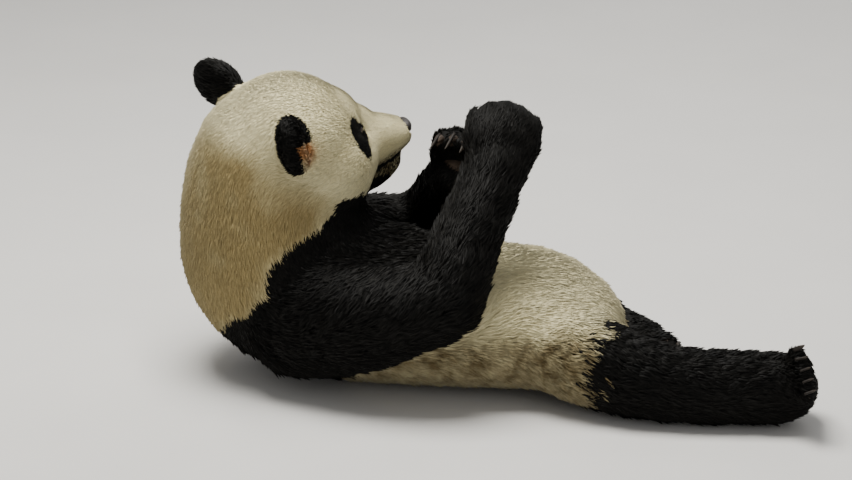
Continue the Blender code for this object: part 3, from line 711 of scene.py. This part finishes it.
def build_skin():
    """The skin, drawn in by the depth of its coat, and the coat's values at its points."""
    mesh = fused_flesh()
    points = points_of(mesh)
    places = in_head(points)
    edges = read(mesh.edges, "vertices", 2, np.int32)
    distances = node_distances(points)
    normals = unit(spread_over(normals_of(mesh), edges, 3))
    fields = {key: by_node(distances, key) for key in COAT_KEYS[1:]}
    fields["flow"] = lie_of_coat(points, normals, distances, edges)
    fields["region"] = distances.argmin(axis=1)
    on_head = near(distances, "head") < ON_FACE
    face = ramp(places[:, 0], *FACE_FROM) * on_head
    to_eye = np.min([length_of(points - EYES[side][0]) for side in SIDES], axis=0)
    by_eye = 1.0 - ramp(to_eye, *BY_EYE)
    for key, (on_face, round_eye) in FINER.items():
        fields[key] *= (1.0 + on_face * face) * (1.0 + round_eye * by_eye)
    fields["depth"] = spread_over(fields["depth"], edges, 6)
    fields.update(zip(MARKS, markings(points, distances)))

    shrunk = points - normals * fields["depth"][:, None]
    calm = spread_over(shrunk, edges, 5)
    on_ear = 1.0 - ramp(near(distances, *both("ear")), 0.001, 0.006)
    on_paw = 1.0 - ramp(near(distances, *both("forepaw"), *both("hind_foot")), 0.0, 0.012)
    shares = [kept * place for kept, place in zip(KEPT, (face, on_ear, by_eye, on_paw))]
    keep = np.max(shares, axis=0)[:, None]
    shrunk = shrunk * keep + calm * (1.0 - keep)
    groove = np.exp(-(off_the_mouth(places) / LIP_GROOVE_WIDTH) ** 2)
    groove = groove * near_mouth(places) * on_head
    shrunk = shrunk - normals * (LIP_GROOVE_DEPTH * groove)[:, None]
    shrunk = shape_lids(shrunk)
    shrunk[:, 2] = np.maximum(shrunk[:, 2], SKIN_CLEARANCE)
    fields["bare"] = bare_places(shrunk, in_head(shrunk))
    fields["density"] *= 1.0 - fields["bare"]
    set_points(mesh, shrunk)
    mesh.shade_smooth()
    return mesh, fields


def unwrap(mesh):
    """Lays the skin out flat, each stretch by the way it faces."""
    holder = link("unwrap", mesh)
    mesh.uv_layers.new(name=BAKE_MAP)
    bpy.context.view_layer.objects.active = holder
    holder.select_set(True)
    bpy.ops.object.mode_set(mode="EDIT")
    bpy.ops.mesh.select_all(action="SELECT")
    bpy.ops.uv.smart_project(angle_limit=math.radians(66.0), island_margin=0.004)
    bpy.ops.object.mode_set(mode="OBJECT")
    bpy.data.objects.remove(holder, do_unlink=True)


# ---- fur
TUFT_BUDGET = 360000  # tufts in all
MOST_FACES = 190000  # in one piece of the coat
PATCH_SIZE = 0.003  # a tuft's patch on the OFBake map
ROOT_DEPTH = 0.002  # how far a tuft's root is sunk into the skin
LEADERS = 17  # tufts in a lock
# The least share of its node's length, depth and width a tuft has, and how much more it can have.
TUFT_LENGTHS = (0.75, 0.5)
TUFT_HEIGHTS = (0.74, 0.32)
TUFT_WIDTHS = (0.75, 0.5)
FUZZ_FROM = 0.90  # the share of tufts that don't stand out
STRAY = (0.45, 0.9, 0.14)  # turned off the lie of the coat: in swaths, in wisps, one by one
BEND_AT = 0.48  # how far along a tuft bends over,
BEND_RISE = 0.28  # and how much it rises there, as a share of its height
# How far a dark and a light tuft are lit as the body under them is, and not as themselves, and how
# much that differs from tuft to tuft.
SOFTNESS = (0.66, 0.84)
UNEVENNESS = (0.09, 0.05)

# A tuft is a bent blade: its root, the two corners of its bend, and its tip. Two faces make its
# back and two its keel.
CORNERS = 4
TUFT_FACES = np.array(((0, 2, 1), (1, 2, 3), (0, 1, 3), (0, 3, 2)))
UV_CORNERS = np.array(((0.5, 0.0), (0.0, 0.5), (1.0, 0.5), (0.5, 1.0)))
# how far from root to tip each corner is: the colour lightens from the painted shade at the root
ALONG = np.array((0.0, 0.58, 0.58, 1.0))


def skin_triangles(mesh):
    """The mesh's triangles, by their points and by their loops."""
    mesh.calc_loop_triangles()
    return [read(mesh.loop_triangles, what, 3, np.int32) for what in ("vertices", "loops")]


def plant(mesh, fields, rng):
    """Roots spread evenly over the skin, each with the coat's values at its place."""
    corners, loops = skin_triangles(mesh)
    points = points_of(mesh)
    edge_a = points[corners[:, 1]] - points[corners[:, 0]]
    edge_b = points[corners[:, 2]] - points[corners[:, 0]]
    area = 0.5 * length_of(np.cross(edge_a, edge_b))
    underside = points[corners].mean(axis=1)[:, 2] < UNDERSIDE
    wanted = area * fields["density"][corners].mean(axis=1)
    wanted = wanted * np.where(underside, UNDERSIDE_DENSITY, 1.0)
    wanted = wanted * (TUFT_BUDGET / wanted.sum())
    reached = np.floor(np.cumsum(wanted) + 0.5).astype(int)
    triangle = np.repeat(np.arange(len(corners)), np.diff(reached, prepend=0))
    share = rng.random((len(triangle), 2))
    folded = share.sum(axis=1) > 1.0
    share[folded] = 1.0 - share[folded]
    weights = np.column_stack((1.0 - share.sum(axis=1), share))

    def at_root(values, of=corners):
        return np.einsum("ij,ij...->i...", weights, values[of[triangle]])

    roots = {name: at_root(fields[name])
             for name in ("flow", "depth", "length", "width", "gather", "fuzz") + MARKS}
    roots["place"] = at_root(points)
    roots["normal"] = unit(at_root(normals_of(mesh)))
    roots["uv"] = at_root(read(mesh.uv_layers[BAKE_MAP].data, "uv", 2), loops)
    roots["region"] = fields["region"][corners[triangle, weights.argmax(axis=1)]]
    return roots


def turn_about(vectors, axes, angles):
    """Each vector, at right angles to its axis, turned about that axis."""
    return vectors * np.cos(angles)[:, None] + np.cross(axes, vectors) * np.sin(angles)[:, None]


def uneven(rng, count, spread):
    """A share for each tuft: the least of them, and up to so much more."""
    least, more = spread
    return least + more * rng.random(count)


def nearest_of(points, places):
    """For each place, which of the points is nearest."""
    tree = KDTree(len(points))
    for index, point in enumerate(points):
        tree.insert(point, index)
    tree.balance()
    return np.array([tree.find(place)[1] for place in places])


def comb(roots, mesh, rng):
    """Adds each tuft's middle and tip: it leaves the skin steeply, then bends to lie along it."""
    place, normal, gather = roots["place"], roots["normal"], roots["gather"]
    count = len(place)
    # The more tufts gather into locks, the more they stray and differ in height.
    stray = STRAY[0] * wobble(place, 0.045, 21) + STRAY[1] * wobble(place, 0.013, 22)
    stray = stray * np.clip(gather / 0.2, 0.35, 1.2) + rng.normal(0.0, STRAY[2], count)
    lie = turn_about(along_skin(roots["flow"], normal), normal, stray)
    length = roots["length"] * uneven(rng, count, TUFT_LENGTHS)
    height = roots["depth"] * uneven(rng, count, TUFT_HEIGHTS)
    height = height + roots["fuzz"] * roots["depth"] * (rng.random(count) > FUZZ_FROM)
    lumps = np.clip(gather / 0.3, 0.15, 1.0) * wobble(place, 0.018, 23)
    height = height * (0.94 + 0.45 * lumps)

    skin_points = points_of(mesh)
    flat_tip = place + lie * length[:, None]
    nearest = nearest_of(skin_points, flat_tip)
    local_normal = normals_of(mesh)[nearest]
    above = np.sum((flat_tip - skin_points[nearest]) * local_normal, axis=1)
    tip = flat_tip + local_normal * (height - above)[:, None]

    leader = np.arange(0, count, LEADERS)
    follow = leader[nearest_of(place[leader], place)]
    gather = gather * (0.5 + noise(place, 0.05, 24))
    tip = tip + (tip[follow] - tip) * gather[:, None]
    middle = place + (tip - place) * BEND_AT + normal * (BEND_RISE * height)[:, None]
    roots.update(middle=middle, tip=tip, tip_normal=unit(local_normal + normal))


def under_tufts(mesh, values, places):
    """The skin's value below each place, smooth from corner to corner of the skin."""
    corners = skin_triangles(mesh)[0]
    points = points_of(mesh)
    tree = BVHTree.FromPolygons(points.tolist(), corners.tolist())
    hits = [tree.find_nearest(place) for place in places.tolist()]
    spot = np.array([hit[0] for hit in hits])
    triangle = np.array([hit[2] for hit in hits])
    first, second, third = (points[corners[triangle, corner]] for corner in range(3))
    whole = np.cross(second - first, third - first)
    size = np.maximum(np.sum(whole * whole, axis=1), 1e-20)
    to_second = np.sum(np.cross(spot - first, third - first) * whole, axis=1) / size
    to_third = np.sum(np.cross(second - first, spot - first) * whole, axis=1) / size
    weights = np.column_stack((1.0 - to_second - to_third, to_second, to_third))
    return np.sum(weights * values[corners[triangle]], axis=1)


def coat_mesh(name, tufts, rng):
    """One piece of the coat: closed three-sided tufts with their roots in the skin."""
    middle, tip, normal = tufts["middle"], tufts["tip"], tufts["normal"]
    count = len(tip)
    half = (0.5 * (tufts["width"] * uneven(rng, count, TUFT_WIDTHS)))[:, None]
    start = tufts["place"] - normal * ROOT_DEPTH
    side = unit(np.cross(normal, tip - start))
    upward = unit(np.cross(tip - start, side))
    corners = np.stack((start, middle + side * half, middle - side * half, tip), axis=1)
    corners[:, :, 2] = np.maximum(corners[:, :, 2], FLOOR_CLEARANCE)
    faces = (TUFT_FACES[None] + CORNERS * np.arange(count)[:, None, None]).reshape(-1, 3)
    mesh = bpy.data.meshes.new(name)
    mesh.vertices.add(count * CORNERS)
    mesh.vertices.foreach_set("co", corners.astype(np.float32).ravel())
    mesh.loops.add(len(faces) * 3)
    mesh.loops.foreach_set("vertex_index", faces.astype(np.int32).ravel())
    mesh.polygons.add(len(faces))
    mesh.polygons.foreach_set("loop_start", np.arange(0, len(faces) * 3, 3, dtype=np.int32))
    mesh.update(calc_edges=True)
    mesh.polygons.foreach_set("use_smooth", np.ones(len(faces), bool))
    is_dark = rng.random(count) < chance_of_dark(tufts["shade"])
    mesh.polygons.foreach_set("material_index", np.repeat(is_dark, len(TUFT_FACES)).astype(np.int32))

    layer = mesh.uv_layers.new(name=BAKE_MAP)
    corner_uv = UV_CORNERS[TUFT_FACES.ravel()] - 0.5
    uv = tufts["uv"][:, None, :] + PATCH_SIZE * corner_uv[None]
    layer.data.foreach_set("uv", uv.astype(np.float32).ravel())

    outward = np.stack((upward, side, -side, unit(tip - middle)), axis=1)
    softness = np.where(is_dark, *SOFTNESS)[:, None, None]
    soft = softness * tufts["tip_normal"][:, None, :] + (1.0 - softness) * outward
    soft = soft + rng.normal(0.0, 1.0, (count, 1, 3)) * np.where(is_dark, *UNEVENNESS)[:, None, None]
    mesh.normals_split_custom_set_from_vertices(unit(soft).reshape(-1, 3))

    set_attribute(mesh, "tone", np.repeat(rng.random(count), CORNERS))
    set_attribute(mesh, "along", np.tile(ALONG, count))
    for mark in MARKS[1:]:
        set_attribute(mesh, mark, np.repeat(tufts[mark], CORNERS))
    return mesh


COAT_PIECES = {
    "coat_head": ("head", "ear_left", "ear_right"),
    "coat_neck": ("neck",),
    "coat_chest": ("trunk_chest",),
    "coat_belly": ("trunk_belly", "tail"),
}
for limb, kinds in LIMBS.items():
    for side in SIDES:
        COAT_PIECES[f"coat_{limb}_{side}"] = [f"{kind}_{side}" for kind in kinds]


def build_coat(mesh, fields, light, dark):
    rng = np.random.default_rng(SEED)
    roots = plant(mesh, fields, rng)
    comb(roots, mesh, rng)
    roots["shade"] = under_tufts(mesh, fields["shade"], roots["middle"])
    for name, members in COAT_PIECES.items():
        slot = "coat_black" if COAT[kind_of(members[0])]["dark"] else "coat_white"
        numbers = [FLESH.index(member) for member in members]
        chosen = np.flatnonzero(np.isin(roots["region"], numbers))
        chosen = chosen[np.argsort(roots["place"][chosen, 0], kind="stable")]
        lots = math.ceil(len(chosen) * len(TUFT_FACES) / MOST_FACES)
        for number, lot in enumerate(np.array_split(chosen, lots), start=1):
            piece_name = name if lots == 1 else f"{name}_{number}"
            tufts = {key: values[lot] for key, values in roots.items()}
            add_piece(piece_name, coat_mesh(piece_name, tufts, rng), slot, light, dark)


# ---- materials
MIX_FIRST, MIX_SECOND, MIX_RESULT = 6, 7, 2  # the Mix node's colour sockets


class Shader:
    """A material's node tree, with short ways to add to it."""

    def __init__(self, name, roughness=0.6, **constants):
        self.material = bpy.data.materials.new(name)
        self.material.use_nodes = True
        self.tree = self.material.node_tree
        self.surface = self.tree.nodes["Principled BSDF"]
        self.surface.inputs["Roughness"].default_value = roughness
        for socket, value in constants.items():
            self.surface.inputs[socket.replace("_", " ")].default_value = value

    def node(self, kind, inputs=None, **settings):
        made = self.tree.nodes.new("ShaderNode" + kind)
        for setting, value in settings.items():
            setattr(made, setting, value)
        for socket, value in (inputs or {}).items():
            self.feed(made.inputs[socket], value)
        return made

    def feed(self, socket, value):
        if isinstance(value, bpy.types.NodeSocket):
            self.tree.links.new(value, socket)
        else:
            socket.default_value = value

    def math(self, operation, *values, clamp=False):
        made = self.node("Math", dict(enumerate(values)), operation=operation, use_clamp=clamp)
        return made.outputs[0]

    def attribute(self, name):
        return self.node("Attribute", attribute_name=name).outputs["Fac"]

    def blend(self, amount, first, second, how="MIX"):
        inputs = {"Factor": amount, MIX_FIRST: first, MIX_SECOND: second}
        return self.node("Mix", inputs, data_type="RGBA", blend_type=how).outputs[MIX_RESULT]

    def between(self, value, low, high):
        """0 where the value is below low, 1 where it is above high."""
        made = self.node("MapRange", {"Value": value, "From Min": low, "From Max": high},
                         interpolation_type="SMOOTHSTEP")
        return made.outputs["Result"]

    def place(self):
        return self.node("TexCoord").outputs["Object"]

    def noise(self, scale, detail=3.0, roughness=0.55):
        made = self.node("TexNoise", {"Vector": self.place(), "Scale": scale, "Detail": detail,
                                      "Roughness": roughness})
        return made.outputs["Fac"]

    def cells(self, scale):
        made = self.node("TexVoronoi", {"Vector": self.place(), "Scale": scale})
        return made.outputs["Distance"]

    def bump(self, height, strength, distance):
        made = self.node("Bump", {"Height": height, "Strength": strength, "Distance": distance})
        self.feed(self.surface.inputs["Normal"], made.outputs["Normal"])

    def painted(self, colour):
        """The finished material, in this colour."""
        self.feed(self.surface.inputs["Base Color"], colour)
        return self.material


# A light tuft's root is darker than its tip as painted shade between the tufts.
SHADED_CREAM_ROOT = (0.50, 0.415, 0.215, 1.0)
CREAM_TIP = (0.88, 0.81, 0.505, 1.0)
# tan, which also stands for painted shade on the neck
TAN_AND_SHADE = (0.44, 0.375, 0.275, 1.0)
# brown for dirt, which also stands for painted shade near the floor and below the mouth
DIRT_AND_SHADE = (0.125, 0.092, 0.042, 1.0)
RUST = (0.42, 0.185, 0.065, 1.0)
# A dark tuft's root is darker still as painted shade between the tufts.
SHADED_BLACK_ROOT = (0.0014, 0.0013, 0.0011, 1.0)
BLACK_TIP = (0.0045, 0.0041, 0.0034, 1.0)
PUPIL = (0.0015, 0.0012, 0.0012, 1.0)
IRIS = (0.040, 0.018, 0.007, 1.0)
EYE_WHITE = (0.075, 0.050, 0.040, 1.0)
# In radians off the gaze: where the pupil gives way to the iris, that to its rim, and that to white.
PUPIL_EDGE = (0.26, 0.32)
IRIS_EDGE = (0.56, 0.66)
WHITE_EDGE = (0.70, 0.80)
NOSE_BLACK = (0.010, 0.0085, 0.0080, 1.0)
NOSE_WORN = (0.030, 0.024, 0.022, 1.0)
HORN_ROOT = (0.014, 0.011, 0.009, 1.0)
HORN_TIP = (0.045, 0.036, 0.028, 1.0)
PAD_DARK = (0.035, 0.024, 0.017, 1.0)
PAD_LIGHT = (0.10, 0.066, 0.044, 1.0)


def light_colour(shader, along):
    """Cream that is darker at the roots as painted shade between the tufts, tanned on the neck and
    stained where the animal lies, with painted shade in both.
    """
    colour = shader.blend(along, SHADED_CREAM_ROOT, CREAM_TIP)
    # tan and painted shade on the neck
    colour = shader.blend(shader.attribute("tan"), colour, TAN_AND_SHADE, "MULTIPLY")
    mottle = shader.math("MULTIPLY_ADD", shader.noise(38.0), 1.0, 0.35)
    # dirt and painted shade, mottled
    dirt = shader.math("MULTIPLY", shader.attribute("dirt"), mottle, clamp=True)
    colour = shader.blend(dirt, colour, DIRT_AND_SHADE)
    return shader.blend(shader.attribute("rust"), colour, RUST)


def vary(shader, colour, least, most):
    """The colour made darker or lighter from tuft to tuft."""
    strength = shader.math("MULTIPLY_ADD", shader.attribute("tone"), most - least, least)
    grey = shader.node("CombineXYZ", {0: strength, 1: strength, 2: strength}).outputs[0]
    return shader.blend(1.0, colour, grey, "MULTIPLY")


def light_fur():
    shader = Shader("fur_light", roughness=0.8, Specular_IOR_Level=0.15, Sheen_Weight=0.25,
                    Sheen_Roughness=0.5, Sheen_Tint=(1.0, 0.90, 0.62, 1.0))
    colour = light_colour(shader, shader.attribute("along"))
    return shader.painted(vary(shader, colour, 0.82, 1.10))


def dark_fur():
    shader = Shader("fur_dark", roughness=0.60, Specular_IOR_Level=0.12)
    # darker at the root: painted shade between the tufts
    colour = shader.blend(shader.attribute("along"), SHADED_BLACK_ROOT, BLACK_TIP)
    return shader.painted(vary(shader, colour, 0.4, 1.5))


def skin_finish():
    """Under the coat the skin has the colours of the roots, painted shade included, so no gap shows.
    """
    shader = Shader("skin_finish", roughness=0.8, Specular_IOR_Level=0.15)
    light = light_colour(shader, 0.5)
    black = shader.blend(shader.noise(60.0), SHADED_BLACK_ROOT, BLACK_TIP)
    shader.bump(shader.noise(420.0, 2.0), 0.6, 0.002)
    return shader.painted(shader.blend(shader.attribute("dark"), light, black))


def eye_finish():
    """Dark brown iris round a black pupil, wet all over."""
    shader = Shader("eye_wet", roughness=0.16, Coat_Weight=1.0, Coat_Roughness=0.03, IOR=1.38)
    away = shader.attribute("away")
    streaks = shader.math("MULTIPLY_ADD", shader.noise(1500.0), 0.10, -0.05)
    edge = shader.math("ADD", away, streaks)
    iris = shader.blend(shader.between(edge, *PUPIL_EDGE), PUPIL, IRIS)
    iris = shader.blend(shader.between(edge, *IRIS_EDGE), iris, PUPIL)
    return shader.painted(shader.blend(shader.between(away, *WHITE_EDGE), iris, EYE_WHITE))


def nose_finish():
    """Damp black leather with a grain of small cells."""
    shader = Shader("nose_leather", roughness=0.48, Specular_IOR_Level=0.35, Coat_Weight=0.08,
                    Coat_Roughness=0.35)
    shader.bump(shader.cells(620.0), 0.5, 0.0008)
    return shader.painted(shader.blend(shader.noise(90.0), NOSE_BLACK, NOSE_WORN))


def pad_finish():
    """Thick cracked skin, paler where it is worn."""
    shader = Shader("pad_leather", roughness=0.72, Specular_IOR_Level=0.3)
    worn = shader.math("MULTIPLY", shader.attribute("crown"), shader.noise(70.0, 4.0), clamp=True)
    shader.bump(shader.cells(330.0), 0.7, 0.0012)
    return shader.painted(shader.blend(worn, PAD_DARK, PAD_LIGHT))


def claw_finish():
    """Horn, dark at the root and paler at the tip, with fine streaks along it."""
    shader = Shader("claw_horn", roughness=0.55, Specular_IOR_Level=0.2)
    streaks = shader.noise(260.0, 5.0)
    beyond = shader.math("SUBTRACT", shader.attribute("along"), 0.35)
    tip = shader.math("MULTIPLY_ADD", streaks, 0.5, beyond, clamp=True)
    shader.bump(streaks, 0.25, 0.0008)
    return shader.painted(shader.blend(tip, HORN_ROOT, HORN_TIP))


# ---- eyes, nose, claws and pads
CORNEA_ANGLE = 0.68
CORNEA_BULGE = 0.055
# In the nose pad's own radii: its nostrils' places and half sizes, left and up.
NOSTRIL_PLACE = (0.46, -0.22)
NOSTRIL_SIZE = (0.26, 0.17)
NOSTRIL_SLANT = 0.35
NOSTRIL_DEPTH = 0.50
GROOVE_HALF_WIDTH = 0.07
GROOVE_DEPTH = 0.09


def grid_mesh(name, rows):
    """A tube through the rows of points, each a ring, closed by a fan at both ends."""
    rows = np.asarray(rows)
    sides = rows.shape[1]
    made = bmesh.new()
    rings = [[made.verts.new(point) for point in row] for row in rows]
    for lower, upper in zip(rings, rings[1:]):
        for k in range(sides):
            after = (k + 1) % sides
            made.faces.new((lower[k], lower[after], upper[after], upper[k]))
    for end in (0, -1):
        middle = made.verts.new(rows[end].mean(axis=0))
        for k in range(sides):
            made.faces.new((rings[end][k], rings[end][(k + 1) % sides], middle))
    bmesh.ops.recalc_face_normals(made, faces=made.faces)
    return settle(made, name)


def globe(name):
    """A sphere of one metre radius whose poles are on Z."""
    made = bmesh.new()
    bmesh.ops.create_uvsphere(made, u_segments=56, v_segments=36, radius=1.0)
    return settle(made, name)


def build_eye(side, finish):
    middle, radius, axes = EYES[side]
    mesh = globe("eye_ball")
    points = unit(points_of(mesh))
    away = np.arccos(np.clip(points[:, 2], -1.0, 1.0))
    bulge = 1.0 + CORNEA_BULGE * (1.0 - ramp(away, 0.0, CORNEA_ANGLE))
    set_points(mesh, middle + (points * (radius * bulge)[:, None]) @ axes)
    set_attribute(mesh, "away", away)
    eye = add_piece("eyeball_" + side, mesh, "eye", finish)
    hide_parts("eye_" + side)


def build_nose(finish):
    """The nose pad: broad above, with comma-shaped nostrils and a groove down its middle."""
    mesh = globe("nose_pad")
    points = unit(points_of(mesh))
    ahead, left, upward = points[:, 2], points[:, 0], points[:, 1]
    dent = GROOVE_DEPTH * np.exp(-(left / GROOVE_HALF_WIDTH) ** 2) * ramp(-upward, -0.35, 0.30)
    for turn in (1.0, -1.0):
        off = left * turn - NOSTRIL_PLACE[0]
        outward = off / NOSTRIL_SIZE[0]
        raised = (upward - NOSTRIL_PLACE[1] - NOSTRIL_SLANT * off) / NOSTRIL_SIZE[1]
        dent = dent + NOSTRIL_DEPTH * np.exp(-(outward ** 2 + raised ** 2))
    front = np.sign(ahead) * np.abs(ahead) ** 0.75
    front = front * (1.0 - np.where(ahead > 0.0, dent, 0.0))
    width = 0.90 + 0.14 * upward
    shape = np.column_stack((front, left * width, upward)) * NOSE_RADII
    set_points(mesh, from_head(shape + NOSE_PLACE))
    nose = add_piece("nose_pad", mesh, "nose_pad", finish)
    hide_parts("nose")


CLAW_SIDES = 12
CLAW_ROWS = 11
CLAW_SUNK = 0.45  # of its own length, inside the paw
CLAW_SECTION = (0.85, 1.15)  # narrower across than it is deep
LEAST_CLAW_RADIUS = 0.0030


def build_claw(limb, side, number, finish):
    """A claw curved along its node, from inside the paw to the node's own tip."""
    name = f"claw_{limb}_{side}_{number}"
    points = points_of(nodes[name].data)
    root, tip = claw_ends(limb, side, number)
    length = np.linalg.norm(tip - root)
    back = np.clip((tip - points) @ unit(tip - root) / length, 0.0, 1.0)
    terms = np.column_stack((back, back ** 2))
    bends = np.linalg.lstsq(terms, points - tip, rcond=None)[0]
    lateral = unit(np.cross(bends[0], bends[1]))
    radius = max(np.abs((points - tip) @ lateral).max(), LEAST_CLAW_RADIUS)
    turns = np.linspace(0.0, 2.0 * math.pi, CLAW_SIDES, endpoint=False)
    rows = []
    steps = np.linspace(1.0 + CLAW_SUNK, 0.0, CLAW_ROWS) ** 1.25
    for step in steps * (1.0 + CLAW_SUNK) / steps[0]:
        middle = tip + bends[0] * step + bends[1] * step ** 2
        heading = unit(-(bends[0] + 2.0 * bends[1] * step))
        raised = unit(np.cross(heading, lateral))
        size = radius * min(1.0, 0.10 + 1.15 * step ** 0.80)
        ring = middle + np.outer(np.cos(turns), lateral) * size * CLAW_SECTION[0]
        rows.append(ring + np.outer(np.sin(turns), raised) * size * CLAW_SECTION[1])
    mesh = grid_mesh("claw", rows)
    along = 1.0 - length_of(points_of(mesh) - tip) / length
    set_attribute(mesh, "along", np.clip(along, 0.0, 1.0))
    claw = add_piece("horn_" + name, mesh, "claw", finish)
    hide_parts(name)


PAD_RINGS = 9
PAD_SIDES = 28
PAD_SUNK = 0.0035  # how far a pad's edge lies inside the skin,
PAD_SKIRT = 0.006  # and how far its sides go on below that
PAD_RELIEF = 0.010  # the most a pad follows the skin up or down from its middle height
PAD_START = 0.12  # from here out of the palm the skin is looked for, and this far
PAD_LOOK = 0.20


def build_pads(limb, side, skin_mesh, finish):
    """The bare pads of one paw, as low cushions that follow its skin."""
    tree = tree_of(skin_mesh)
    origin, axes = PAWS[limb, side]
    turns = np.linspace(0.0, 2.0 * math.pi, PAD_SIDES, endpoint=False)
    shares = np.linspace(1.0, 0.05, PAD_RINGS)[:, None]
    crown = np.repeat(np.append(0.0, 1.0 - shares ** 2), PAD_SIDES)

    def skin_height(along, across):
        start = origin + np.array((along, across, PAD_START)) @ axes
        hit = tree.ray_cast(Vector(start), Vector(-axes[2]), PAD_LOOK)[0]
        return math.nan if hit is None else (np.array(hit) - origin) @ axes[2]

    joined = bmesh.new()
    crowns = []
    for reach, spread, half_length, half_width, rise, bend in PADS[limb]:
        across = shares * np.sin(turns)
        along = reach + half_length * shares * np.cos(turns) - bend * across ** 2
        across = spread + half_width * across
        heights = np.array([[skin_height(*spot) for spot in zip(*ring)]
                            for ring in zip(along, across)])
        if np.isnan(heights).all():
            continue
        level = np.nanmedian(heights)
        heights = np.where(np.isnan(heights), level, heights)
        heights = np.clip(heights, level - PAD_RELIEF, level + PAD_RELIEF)
        heights = heights + (rise * (1.0 - shares ** 3) - PAD_SUNK * shares)
        rows = origin + np.stack((along, across, heights), axis=-1) @ axes
        part = grid_mesh("pad", np.concatenate((rows[:1] - axes[2] * PAD_SKIRT, rows)))
        joined.from_mesh(part)
        crowns.append(np.append(crown, (0.0, 1.0)))
        bpy.data.meshes.remove(part)
    mesh = settle(joined, "pads")
    set_attribute(mesh, "crown", np.concatenate(crowns))
    add_piece(f"pads_{limb}_{side}", mesh, "nose_pad", finish)


# ---- stage
CAMERA_AZIMUTH = math.radians(8.0)
CAMERA_HEIGHT_ANGLE = math.radians(20.0)
CAMERA_DISTANCE = 7.0
VIEW_WIDTH = 1.704  # what the picture spans at the camera's target
SENSOR = 36.0
TARGET_SHARE = (0.3788, 0.5654, 0.4137)  # where the camera looks, as a share of the CAD box
FLOOR_SIZE = 24.0
FLOOR_GREYS = ((0.60, 0.59, 0.57, 1.0), (0.66, 0.65, 0.63, 1.0))
SKY_COLOUR = (1.0, 0.99, 0.97, 1.0)
SKY_STRENGTH = 0.42
# Each lamp's place, size, power and colour; all of them face what the camera looks at.
LAMPS = {
    "key": ((-0.6, -0.1, 3.4), 1.8, 225.0, (1.0, 0.98, 0.93)),
    "fill": ((2.4, -3.0, 1.6), 2.6, 16.0, (0.97, 0.98, 1.0)),
    "rim": ((0.8, 3.0, 2.2), 2.0, 24.0, (1.0, 1.0, 1.0)),
}


def add_camera(target):
    flat = math.cos(CAMERA_HEIGHT_ANGLE)
    towards_camera = Vector((math.sin(CAMERA_AZIMUTH) * flat, -math.cos(CAMERA_AZIMUTH) * flat,
                             math.sin(CAMERA_HEIGHT_ANGLE)))
    lens = bpy.data.cameras.new("camera")
    lens.sensor_width = SENSOR
    lens.lens = SENSOR * CAMERA_DISTANCE / VIEW_WIDTH
    lens.clip_end = 60.0
    camera = link("camera", lens)
    camera.location = target + towards_camera * CAMERA_DISTANCE
    camera.rotation_euler = towards_camera.to_track_quat("Z", "Y").to_euler()
    bpy.context.scene.camera = camera


def stage():
    low, high = cad_box
    target = Vector(low[k] + TARGET_SHARE[k] * (high[k] - low[k]) for k in range(3))
    add_camera(target)
    bpy.ops.mesh.primitive_plane_add(size=FLOOR_SIZE, location=(0.0, 0.0, 0.0))
    floor = bpy.context.object
    floor.name = "floor"
    shader = Shader("floor_finish", roughness=0.9)
    floor.data.materials.append(shader.painted(shader.blend(shader.noise(3.0), *FLOOR_GREYS)))

    world = bpy.data.worlds.new("studio")
    bpy.context.scene.world = world
    world.use_nodes = True
    sky = world.node_tree.nodes["Background"]
    sky.inputs["Color"].default_value = SKY_COLOUR
    sky.inputs["Strength"].default_value = SKY_STRENGTH
    for name, (place, size, power, colour) in LAMPS.items():
        lamp = bpy.data.lights.new(name, "AREA")
        lamp.size = size
        lamp.energy = power
        lamp.color = colour
        holder = link(name, lamp)
        holder.location = place
        holder.rotation_euler = (Vector(place) - target).to_track_quat("Z", "Y").to_euler()


def main():
    stage()
    skin_mesh, fields = build_skin()
    unwrap(skin_mesh)
    for mark in MARKS[1:]:
        set_attribute(skin_mesh, mark, fields[mark])
    set_attribute(skin_mesh, "dark", chance_of_dark(fields["shade"]))
    skin = add_piece("panda_skin", skin_mesh, "coat_white", skin_finish())
    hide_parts(*FLESH)
    build_coat(skin_mesh, fields, light_fur(), dark_fur())
    wet, leather, horn, hide = eye_finish(), nose_finish(), claw_finish(), pad_finish()
    build_nose(leather)
    for side in SIDES:
        build_eye(side, wet)
        for limb in PAW_NODES:
            build_pads(limb, side, skin_mesh, hide)
            for number in range(1, 6):
                build_claw(limb, side, number, horn)


main()
